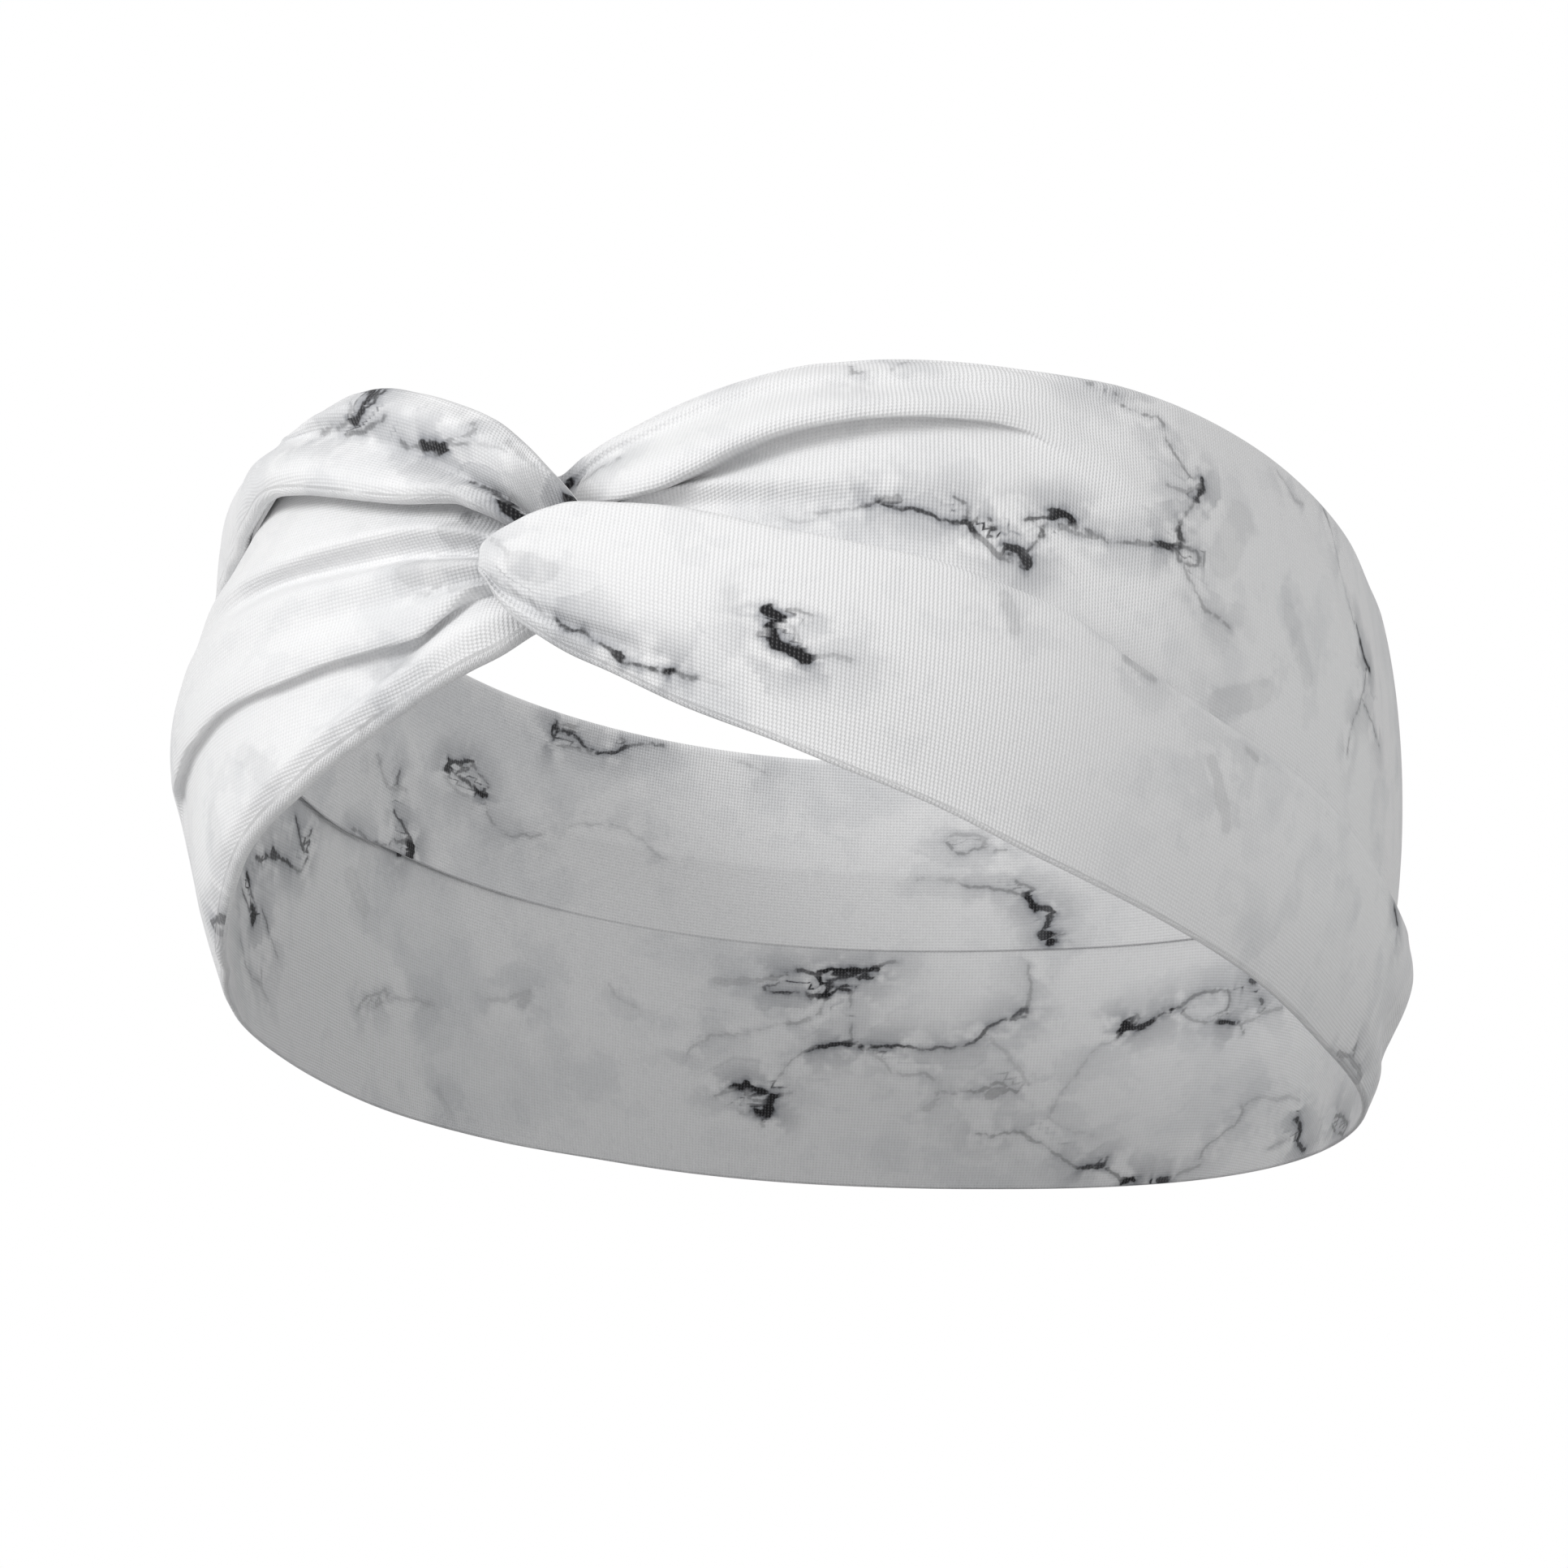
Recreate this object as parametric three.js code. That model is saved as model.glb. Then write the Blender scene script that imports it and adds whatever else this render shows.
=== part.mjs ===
// A twist-front spa headband of bagged-out jersey: an upper and a lower strip run round the head
// and two gathered wraps hook through each other at the front.
// Millimetres, +Z up, front of the head towards -Y. The band stands on its lower rim at z = 0.
import * as THREE from "three";

// Driving dimensions
const ringHalfWidth = 77; // widest outer face, ear side to ear side
const ringHalfLength = 96; // widest outer face, brow to nape
const planExponent = 2.4; // 2 is an ellipse, more is squarer
const bandHeight = 67.5; // lower rim to upper rim at the back
const bulgeHeight = 36; // height at which the ring is widest
const bulgeReach = 90; // a smaller reach makes the ring barrel more
const plyThickness = 1; // one layer of jersey
const pocketGap = 1.6; // room between the two plies of a strip
const ease = 0.3; // clearance between pieces that touch
const lipWidth = 2.2; // how far the outer panel rolls over each edge
const allowanceWidth = 6; // seam allowance turned in at each edge
const stripClearance = 0.9; // between the lower strip and the upper strip inside it
const gatherShare = 0.116; // width of a gathered wrap, as a share of the cloth's height
const wrapThickness = 6; // gathered wrap, through
const wrapEase = 0.65; // turn left clear between a strip's end and its wrap, in degrees
const stationCount = 58;
const wrapSteps = 18;
const wrapSides = 10;
const faceDivisions = 4;

const stripThickness = 2 * plyThickness + pocketGap;
const upperInset = stripThickness + stripClearance;
const wrapWidth = bandHeight * gatherShare;

// Depths of the strips' outer faces where they enter the knot
const rightLobeFace = 6.5;
const leftDomeFace = 6.8;
const lobeBack = rightLobeFace - stripThickness;
const halfStrip = stripThickness / 2;

// Edge lines of the two strips. Each entry is [angle from the front in degrees, share of the
// band height]; angles grow past the right ear, round the nape (180) and back to the front (360).
const lowerStrip = {
  start: -1.5,
  end: 353.4,
  bottom: [
    [-1.5, 0.47], [2, 0.41], [6, 0.345], [12, 0.275], [20, 0.21], [30, 0.15], [45, 0.09],
    [60, 0.05], [75, 0.02], [90, 0], [312, 0], [322, 0.01], [332, 0.09], [342, 0.19],
    [350, 0.29], [353.4, 0.345],
  ],
  top: [
    [-1.5, 0.64], [2, 0.655], [10, 0.645], [20, 0.605], [30, 0.55], [45, 0.455], [60, 0.38],
    [80, 0.34], [105, 0.33], [118, 0.36], [132, 0.49], [148, 0.65], [162, 0.69], [250, 0.69],
    [270, 0.64], [287, 0.55], [305, 0.57], [316, 0.65], [328, 0.73], [340, 0.72], [349, 0.6],
    [353.4, 0.5],
  ],
  face: [[-1.5, rightLobeFace], [8, 6], [25, 3.5], [60, 0.5], [80, 0], [300, 0], [335, 2], [353.4, 0]],
};
const upperStrip = {
  start: 5,
  end: 355.4,
  bottom: [
    [5, 0.655], [12, 0.61], [25, 0.5], [45, 0.36], [65, 0.28], [90, 0.25], [112, 0.25],
    [130, 0.38], [148, 0.53], [162, 0.575], [250, 0.575], [288, 0.58], [305, 0.6],
    [325, 0.645], [340, 0.68], [349, 0.675], [355.4, 0.672],
  ],
  top: [
    [5, 0.78], [10, 0.87], [16, 0.93], [25, 0.97], [40, 0.99], [60, 1], [280, 1], [291, 0.98],
    [302, 0.94], [312, 0.91], [324, 0.89], [336, 0.885], [344, 0.875], [350, 0.845],
    [355.4, 0.805],
  ],
  face: [
    [5, -upperInset], [270, -upperInset], [288, -upperInset + 0.8], [304, 2.5], [314, 6],
    [335, 7.2], [355.4, leftDomeFace],
  ],
};

// Smooth value of a table at x, with no overshoot between its entries.
function tableValue(table, x) {
  const last = table.length - 1;
  if (x <= table[0][0]) return table[0][1];
  if (x >= table[last][0]) return table[last][1];
  const i = table.findIndex(([angle]) => angle > x) - 1;
  const slope = (k) => (table[k + 1][1] - table[k][1]) / (table[k + 1][0] - table[k][0]);
  const tangent = (k) => {
    if (k === 0 || k === last) return 0;
    const before = slope(k - 1);
    const after = slope(k);
    return before * after <= 0 ? 0 : (2 * before * after) / (before + after);
  };
  const [x0, y0] = table[i];
  const [x1, y1] = table[i + 1];
  const width = x1 - x0;
  const t = (x - x0) / width;
  return (
    y0 * (1 + 2 * t) * (1 - t) ** 2 +
    tangent(i) * width * t * (1 - t) ** 2 +
    y1 * t * t * (3 - 2 * t) +
    tangent(i + 1) * width * t * t * (t - 1)
  );
}

// Point at an angle and a height, pushed out from the ring's outer face by depth.
function place(angle, height, depth) {
  const turn = THREE.MathUtils.degToRad(angle);
  const sine = Math.sin(turn);
  const cosine = Math.cos(turn);
  const across = Math.abs(sine / ringHalfWidth) ** planExponent;
  const along = Math.abs(cosine / ringHalfLength) ** planExponent;
  const barrel = Math.sqrt(1 - ((height - bulgeHeight) / bulgeReach) ** 2);
  const radius = barrel / (across + along) ** (1 / planExponent);
  const normal = new THREE.Vector2(
    Math.sign(sine) * (Math.abs(sine) ** (planExponent - 1) / ringHalfWidth ** planExponent),
    -Math.sign(cosine) * (Math.abs(cosine) ** (planExponent - 1) / ringHalfLength ** planExponent),
  ).normalize();
  return new THREE.Vector3(
    radius * sine + depth * normal.x,
    -radius * cosine + depth * normal.y,
    height,
  );
}

// Angles of the stations along a strip, closer together near the knot.
function stationAngles(strip) {
  const crowding = 0.72;
  return Array.from({ length: stationCount + 1 }, (_, i) => {
    const share = i / stationCount;
    const eased = share - (crowding * Math.sin(2 * Math.PI * share)) / (2 * Math.PI);
    return strip.start + (strip.end - strip.start) * eased;
  });
}

function stripEdges(strip, angle) {
  return {
    bottom: bandHeight * tableValue(strip.bottom, angle),
    top: bandHeight * tableValue(strip.top, angle),
    face: tableValue(strip.face, angle),
  };
}

// Closed mesh through rings of points that each run round the same section.
function sweptMesh(name, rings, colour, roughness) {
  const size = rings[0].length;
  const section = new THREE.Vector3();
  const points = rings.flat();
  const index = [];
  for (let i = 0; i + 1 < rings.length; i++)
    for (let j = 0; j < size; j++) {
      const a = i * size + j;
      const b = i * size + ((j + 1) % size);
      index.push(a, b + size, b, a, a + size, b + size);
    }
  // End caps: the section is flattened along the sweep and cut into triangles.
  for (const [ring, base, flip] of [
    [rings[0], 0, false],
    [rings.at(-1), (rings.length - 1) * size, true],
  ]) {
    const centre = ring.reduce((sum, p) => sum.add(p), new THREE.Vector3()).divideScalar(size);
    const upright = new THREE.Vector3(0, 0, 1);
    const normal = new THREE.Vector3();
    ring.forEach((p, j) => {
      section.crossVectors(p.clone().sub(centre), ring[(j + 1) % size].clone().sub(centre));
      normal.add(section);
    });
    normal.normalize();
    const side = new THREE.Vector3().crossVectors(upright, normal).normalize();
    const rise = new THREE.Vector3().crossVectors(normal, side);
    const flat = ring.map((p) => {
      const offset = p.clone().sub(centre);
      return new THREE.Vector2(offset.dot(side), offset.dot(rise));
    });
    for (const [a, b, c] of THREE.ShapeUtils.triangulateShape(flat, []))
      index.push(base + a, base + (flip ? c : b), base + (flip ? b : c));
  }
  const geometry = new THREE.BufferGeometry().setFromPoints(points);
  geometry.setIndex(index);
  geometry.computeVertexNormals();
  const mesh = new THREE.Mesh(
    geometry,
    new THREE.MeshStandardMaterial({ color: colour, roughness, metalness: 0 }),
  );
  mesh.name = name;
  return mesh;
}

// Heights that divide one face of a panel, so that it follows the barrel of the ring.
function faceHeights(from, to) {
  return Array.from(
    { length: faceDivisions + 1 },
    (_, i) => from + ((to - from) * i) / faceDivisions,
  );
}

// Outer panel: it covers the outside and rolls over both edges, so the rims are its own.
function outerPanel(name, strip) {
  const rings = stationAngles(strip).map((angle) => {
    const { bottom, top, face } = stripEdges(strip, angle);
    const at = (height, inward) => place(angle, height, face - inward);
    const lip = plyThickness + pocketGap;
    return [
      ...faceHeights(bottom, top).map((height) => at(height, 0)),
      at(top, stripThickness),
      at(top - lipWidth, stripThickness),
      at(top - lipWidth, lip),
      at(top - plyThickness, lip),
      ...faceHeights(top - plyThickness, bottom + plyThickness).map((h) => at(h, plyThickness)),
      at(bottom + plyThickness, lip),
      at(bottom + lipWidth, lip),
      at(bottom + lipWidth, stripThickness),
      at(bottom, stripThickness),
    ];
  });
  return sweptMesh(name, rings, 0xe9e9ea, 0.9);
}

// Lining panel: the ply against the head, between the two rolled lips of the outer panel.
function liningPanel(name, strip) {
  const rings = stationAngles(strip).map((angle) => {
    const { bottom, top, face } = stripEdges(strip, angle);
    const low = bottom + lipWidth + ease;
    const high = top - lipWidth - ease;
    const outside = face - plyThickness - pocketGap;
    return [
      ...faceHeights(low, high).map((height) => place(angle, height, outside)),
      ...faceHeights(high, low).map((height) => place(angle, height, face - stripThickness)),
    ];
  });
  return sweptMesh(name, rings, 0xdcdde0, 0.92);
}

// Seam allowance: the turned-in margins of both plies, lying in the pocket along one edge.
function seamAllowance(name, strip, alongTop) {
  const rings = stationAngles(strip).map((angle) => {
    const { bottom, top, face } = stripEdges(strip, angle);
    const clear = plyThickness + ease;
    const width = Math.min(allowanceWidth, (top - bottom) / 2 - clear - ease);
    const low = alongTop ? top - clear - width : bottom + clear;
    const outside = face - clear;
    const inside = face - plyThickness - pocketGap + ease;
    return [
      place(angle, low, outside),
      place(angle, low + width, outside),
      place(angle, low + width, inside),
      place(angle, low, inside),
    ];
  });
  return sweptMesh(name, rings, 0xd2d3d6, 0.95);
}

// Gathered wrap of the knot: a flattened bundle of cloth swept along a hooked route.
function knotWrap(name, route) {
  const curve = new THREE.CatmullRomCurve3(
    route.map(([angle, share, depth]) => place(angle, bandHeight * share, depth)),
    false,
    "centripetal",
  );
  const outline = new THREE.EllipseCurve(0, 0, wrapThickness / 2, wrapWidth / 2);
  const shape = new THREE.Shape(outline.getPoints(wrapSides).slice(0, -1));
  const geometry = new THREE.ExtrudeGeometry(shape, { steps: wrapSteps, extrudePath: curve });
  const mesh = new THREE.Mesh(
    geometry,
    new THREE.MeshStandardMaterial({ color: 0xf2f2f2, roughness: 0.9, metalness: 0 }),
  );
  mesh.name = name;
  return mesh;
}

// Routes of the wraps through the knot: [angle, share of the band height, depth]. Each runs from the
// middle of one strip's end to the middle of the other's.
const rightWrapRoute = [
  [lowerStrip.start - wrapEase, 0.55, rightLobeFace - halfStrip],
  [-6, 0.57, 3.4],
  [-7.4, 0.605, -2],
  [-5.4, 0.64, -9],
  [-1, 0.69, -10.3],
  [2, 0.71, -upperInset - halfStrip - 1.6],
  [upperStrip.start - wrapEase, 0.715, -upperInset - halfStrip],
];
const leftWrapRoute = [
  [upperStrip.end - 360 + wrapEase, 0.735, leftDomeFace - halfStrip],
  [0, 0.755, lobeBack + 1.4],
  [2.2, 0.715, lobeBack - 2.1],
  [2.2, 0.58, lobeBack - 5],
  [-1, 0.46, lobeBack - 6],
  [-3.6, 0.425, lobeBack - 5],
  [lowerStrip.end - 360 + wrapEase, 0.42, -halfStrip],
];

const headband = new THREE.Group();
headband.name = "spa_headband";
headband.add(
  outerPanel("upper_outer_panel", upperStrip),
  liningPanel("upper_lining_panel", upperStrip),
  seamAllowance("upper_top_seam_allowance", upperStrip, true),
  seamAllowance("upper_bottom_seam_allowance", upperStrip, false),
  outerPanel("lower_outer_panel", lowerStrip),
  liningPanel("lower_lining_panel", lowerStrip),
  seamAllowance("lower_top_seam_allowance", lowerStrip, true),
  seamAllowance("lower_bottom_seam_allowance", lowerStrip, false),
  knotWrap("right_knot_wrap", rightWrapRoute),
  knotWrap("left_knot_wrap", leftWrapRoute),
);

// The origin is the middle of the whole band's footprint, on its lower rim.
const footprint = new THREE.Box3().setFromObject(headband);
headband.position.set(
  -(footprint.min.x + footprint.max.x) / 2,
  -(footprint.min.y + footprint.max.y) / 2,
  0,
);

export default headband;
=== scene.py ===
"""A twist-front spa headband of marble-printed rib jersey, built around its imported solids.

Two flat tubes of cloth run round the head, the upper one inside the lower one at the nape. At the
front each tube turns back on itself, and the two bends hook through each other as a loose knot.
"""

import math

import bpy
import numpy as np
from mathutils import Matrix, Vector


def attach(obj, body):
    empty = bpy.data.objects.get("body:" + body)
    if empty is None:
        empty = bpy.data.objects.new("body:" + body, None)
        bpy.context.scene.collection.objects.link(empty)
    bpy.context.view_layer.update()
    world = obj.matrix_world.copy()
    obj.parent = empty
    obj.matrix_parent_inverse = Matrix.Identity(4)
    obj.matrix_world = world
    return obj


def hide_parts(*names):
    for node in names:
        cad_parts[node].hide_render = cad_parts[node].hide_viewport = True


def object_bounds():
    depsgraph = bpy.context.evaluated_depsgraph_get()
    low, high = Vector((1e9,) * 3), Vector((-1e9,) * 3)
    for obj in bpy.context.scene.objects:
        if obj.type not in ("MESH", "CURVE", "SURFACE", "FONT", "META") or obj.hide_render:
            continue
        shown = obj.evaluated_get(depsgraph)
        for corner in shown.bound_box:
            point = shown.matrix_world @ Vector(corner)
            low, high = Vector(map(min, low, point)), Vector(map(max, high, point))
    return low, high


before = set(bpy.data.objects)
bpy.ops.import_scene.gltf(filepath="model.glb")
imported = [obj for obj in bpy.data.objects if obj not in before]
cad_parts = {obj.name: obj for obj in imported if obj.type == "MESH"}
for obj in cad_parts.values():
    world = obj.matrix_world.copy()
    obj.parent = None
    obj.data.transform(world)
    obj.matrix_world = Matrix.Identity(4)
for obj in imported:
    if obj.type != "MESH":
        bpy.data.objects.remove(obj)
solid_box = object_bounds()
MM = 0.001

# ---------------------------------------------------------------------------------------------
# Camera: low in front, turned a little to the wearer's left, looking up into the opened band.
# The band's ring is a squarish ellipse whose middle sits a little behind the footprint's middle.
# ---------------------------------------------------------------------------------------------
RING_HALF_WIDTH, RING_HALF_LENGTH, RING_EXPONENT = 77.0, 96.0, 2.4
BULGE_HEIGHT, BULGE_REACH = 36.0, 90.0
RING_SIDE, RING_TO_BACK = 0.38, 95.9
RING_CENTRE = Vector((RING_SIDE, solid_box[1][1] / MM - RING_TO_BACK, 0.0))

VIEW_TURN, VIEW_TILT, VIEW_ROLL = (math.radians(a) for a in (19.7173, -15.7228, 3.5208))
VIEW_DISTANCE, VIEW_SIDE, VIEW_RISE = (RING_HALF_WIDTH * n for n in (7.6291, -0.0541, 0.4765))
VIEW_ANGLE = math.radians(20.1)

back = Vector(
    (
        math.sin(VIEW_TURN) * math.cos(VIEW_TILT),
        -math.cos(VIEW_TURN) * math.cos(VIEW_TILT),
        math.sin(VIEW_TILT),
    )
)
right = Vector((math.cos(VIEW_TURN), math.sin(VIEW_TURN), 0.0))
up = back.cross(right)
eye = RING_CENTRE + right * VIEW_SIDE + up * VIEW_RISE + back * VIEW_DISTANCE
camera_right = right * math.cos(VIEW_ROLL) + up * math.sin(VIEW_ROLL)
camera_up = up * math.cos(VIEW_ROLL) - right * math.sin(VIEW_ROLL)
lens = bpy.data.cameras.new("camera")
lens.sensor_fit = "HORIZONTAL"
lens.angle = VIEW_ANGLE
lens.clip_start, lens.clip_end = 0.01, 50.0
camera = bpy.data.objects.new("camera", lens)
camera.matrix_world = (
    Matrix.Translation(eye * MM) @ Matrix((camera_right, camera_up, back)).transposed().to_4x4()
)
bpy.context.scene.collection.objects.link(camera)
bpy.context.scene.camera = camera

# ---------------------------------------------------------------------------------------------
# Lower strip: a bagged-out tube of two plies. It starts as the smooth lobe of the knot's right
# half, runs low round the outside, and ends in the pleats that fan out from under that lobe.
# ---------------------------------------------------------------------------------------------
FACE_COUNT, EDGE_COUNT, BACK_COUNT = 73, 7, 56  # points of a section's outer, rolled, inner parts
RIPPLE_SOFTENING = 4  # rounds of smoothing that the pleats go through on the inner face
RIPPLE_LEFT = 0.25  # share of an outward pleat that the inner face follows
HEM_RISE, HEM_CURVE = 2.4, 1.5  # how fast the cloth thickens upwards from its pressed hem
EDGE_ROOM = 0.8  # most of the way to the next guide line that a rolled edge may take
PRINT_RADIUS = 82.0  # turns an angle into the print's millimetres along the strip
VEIN_REACH = 30.0  # distance in millimetres past which no vein colours the cloth
LAYER_SHIFT = 40.0  # keeps the clouds of the print on the two faces from being the same


def smooth(table, at):
    """Values of a table's columns at each position, curved but never past their neighbours."""
    table = np.asarray(table, float)
    x, y = table[:, 0], table[:, 1:]
    step = np.diff(x)
    slope = np.diff(y, axis=0) / step[:, None]
    tangent = np.zeros_like(y)
    before, after = slope[:-1], slope[1:]
    same = before * after > 0
    tangent[1:-1][same] = (2 * before * after)[same] / (before + after)[same]
    at = np.clip(np.asarray(at, float), x[0], x[-1])
    i = np.clip(np.searchsorted(x, at, side="right") - 1, 0, len(x) - 2)
    t = ((at - x[i]) / step[i])[:, None]
    w = step[i][:, None]
    return (
        y[i] * (1 + 2 * t) * (1 - t) ** 2
        + tangent[i] * w * t * (1 - t) ** 2
        + y[i + 1] * t * t * (3 - 2 * t)
        + tangent[i + 1] * w * t * t * (t - 1)
    )


def place(angle, height, depth):
    """Points at an angle from the front, a height, and a depth out from the ring, in metres."""
    angle, height, depth = np.broadcast_arrays(angle, height, depth)
    s, c = np.sin(np.radians(angle)), np.cos(np.radians(angle))
    n = RING_EXPONENT
    barrel = np.sqrt(1 - ((height - BULGE_HEIGHT) / BULGE_REACH) ** 2)
    plan = (np.abs(s / RING_HALF_WIDTH) ** n + np.abs(c / RING_HALF_LENGTH) ** n) ** (1 / n)
    normal = np.stack(
        [
            np.sign(s) * np.abs(s) ** (n - 1) / RING_HALF_WIDTH**n,
            -np.sign(c) * np.abs(c) ** (n - 1) / RING_HALF_LENGTH**n,
        ],
        -1,
    )
    normal /= np.linalg.norm(normal, axis=-1, keepdims=True)
    return MM * np.stack(
        [
            RING_CENTRE.x + barrel / plan * s + depth * normal[..., 0],
            RING_CENTRE.y - barrel / plan * c + depth * normal[..., 1],
            height,
        ],
        -1,
    )


def across(guides, count):
    """A curve through each station's guide points, as count points evenly shared between guides."""
    last = guides.shape[1] - 1
    at = np.linspace(0, last, count)
    i = np.minimum(at.astype(int), last - 1)
    t = (at - i)[None, :, None]
    padded = np.concatenate(
        [2 * guides[:, :1] - guides[:, 1:2], guides, 2 * guides[:, -1:] - guides[:, -2:-1]], 1
    )
    p0, p1, p2, p3 = (padded[:, i + k] for k in range(4))
    span = [np.linalg.norm(b - a, axis=-1, keepdims=True) ** 0.5 + 1e-4 for a, b in
            ((p0, p1), (p1, p2), (p2, p3))]
    m1 = span[1] * ((p1 - p0) / span[0] - (p2 - p0) / (span[0] + span[1])) + (p2 - p1)
    m2 = span[1] * ((p3 - p2) / span[2] - (p3 - p1) / (span[1] + span[2])) + (p2 - p1)
    return (
        p1 * (1 + 2 * t) * (1 - t) ** 2
        + m1 * t * (1 - t) ** 2
        + p2 * t * t * (3 - 2 * t)
        + m2 * t * t * (t - 1)
    )


def section_loops(guides, thickness, hem):
    """Closed sections: the outer face, a rolled edge, the calmer inner face, a rolled edge."""
    low_room = EDGE_ROOM * np.abs(guides[:, 1:2, 0] - guides[:, :1, 0])
    high_room = EDGE_ROOM * np.abs(guides[:, -1:, 0] - guides[:, -2:-1, 0])
    low_roll = np.minimum(thickness * hem / 2, low_room)
    high_roll = np.minimum(thickness / 2, high_room)
    outer = guides.copy()
    share = np.linspace(0, 1, guides.shape[1])[None]
    outer[..., 0] += low_roll * (1 - share) ** 3 - high_roll * share**3
    face = across(outer, FACE_COUNT)
    f = np.linspace(0, 1, BACK_COUNT)[None]
    ends = face[:, :1, 1] * (1 - f) + face[:, -1:, 1] * f
    pick = np.linspace(0, FACE_COUNT - 1, BACK_COUNT).astype(int)
    ripple = face[:, pick, 1] - ends
    for _ in range(RIPPLE_SOFTENING):
        ripple[:, 1:-1] = (ripple[:, :-2] + 2 * ripple[:, 1:-1] + ripple[:, 2:]) / 4
    inner = np.stack(
        [
            face[:, :1, 0] * (1 - f) + face[:, -1:, 0] * f,
            ends
            - thickness * (hem + (1 - hem) * np.minimum(HEM_RISE * f, 1) ** HEM_CURVE)
            + np.minimum(ripple, 0)
            + RIPPLE_LEFT * np.maximum(ripple, 0),
        ],
        -1,
    )
    turn = np.linspace(0, math.pi, EDGE_COUNT + 2)[None, 1:-1]

    def rolled_edge(at, rise, way):
        middle = (face[:, at, 1] + inner[:, at, 1]) / 2
        half = (face[:, at, 1] - inner[:, at, 1]) / 2
        return np.stack(
            [face[:, at, 0] + rise * np.sin(turn), middle + way * half * np.cos(turn)], -1)

    top = rolled_edge(slice(-1, None), high_roll, 1)
    bottom = rolled_edge(slice(0, 1), -low_roll, -1)
    return np.concatenate([face, top, inner[:, ::-1], bottom], 1)


def print_offsets(spot, veins):
    """Offset to the nearest vein and its distance, and that vein's darkness and half width."""
    best = np.full(spot.shape[:-1], VEIN_REACH)
    offset = np.zeros(spot.shape)
    ink = np.zeros(spot.shape)
    for darkness, width, *route in veins:
        route = np.array([[math.radians(a) * PRINT_RADIUS, h * RING_HALF_WIDTH] for a, h in route])
        for a, b in zip(route[:-1], route[1:]):
            along = b - a
            t = np.clip(((spot - a) @ along) / max(along @ along, 1e-9), 0, 1)
            gap = a + t[..., None] * along - spot
            distance = np.linalg.norm(gap, axis=-1) - width
            nearer = distance < best
            best[nearer] = distance[nearer]
            offset[nearer] = gap[nearer]
            ink[nearer] = (darkness, width)
    return np.concatenate([offset, best[..., None]], -1), ink


def add_layers(mesh, **layers):
    """Stores a vector at each point of the mesh under each name, for the material to read."""
    for label, values in layers.items():
        layer = mesh.attributes.new(label, "FLOAT_VECTOR", "POINT")
        layer.data.foreach_set("vector", np.ascontiguousarray(values, np.float32).ravel())


def strip_mesh(name, angles, loops, veins_outside, veins_inside):
    """A tube through the strip's sections, carrying its cloth and print coordinates."""
    stations, size = loops.shape[:2]
    points = place(angles[:, None], loops[..., 0], loops[..., 1])
    middle = points[:, FACE_COUNT // 2]
    along = np.concatenate([[0], np.cumsum(np.linalg.norm(np.diff(middle, axis=0), axis=-1))])
    around = np.concatenate(
        [np.zeros((stations, 1)),
         np.cumsum(np.linalg.norm(np.diff(points, axis=1), axis=-1), 1)], 1)
    around -= around[:, FACE_COUNT // 2][:, None]

    ring = np.arange(size)
    after = (ring + 1) % size
    band = np.stack([ring, ring + size, after + size, after], -1)
    faces = (size * np.arange(stations - 1)[:, None, None] + band).reshape(-1, 4).tolist()
    # the two ends close like a bag's corners, front points joined to the ones behind them
    corner = np.array([(k - 1, k, size - k - 1, size - k) for k in range(1, size // 2)])
    faces += corner[:, ::-1].tolist() + (corner + (stations - 1) * size).tolist()
    mesh = bpy.data.meshes.new(name)
    mesh.from_pydata(points.reshape(-1, 3).tolist(), [], faces)
    mesh.validate()
    mesh.shade_smooth()

    half_roll = EDGE_COUNT // 2
    inside = ring >= FACE_COUNT + half_roll
    inside[-(half_roll + 1):] = False
    turn = np.broadcast_to(np.radians(angles[:, None]) * PRINT_RADIUS, loops.shape[:2])
    spot = np.stack([turn, loops[..., 0]], -1)
    vein, ink = np.zeros((2, stations, size, 3))
    for side, veins in ((~inside, veins_outside), (inside, veins_inside)):
        vein[:, side], ink[:, side, :2] = print_offsets(spot[:, side], veins)
    layer_gap = LAYER_SHIFT * inside + np.zeros_like(turn)
    add_layers(
        mesh,
        cloth=np.stack(
            [np.broadcast_to(along[:, None], around.shape) / MM, around / MM,
             np.zeros_like(around)], -1),
        vein=vein,
        ink=ink,
        spot=np.concatenate([spot, layer_gap[..., None]], -1),
    )
    return mesh


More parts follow.
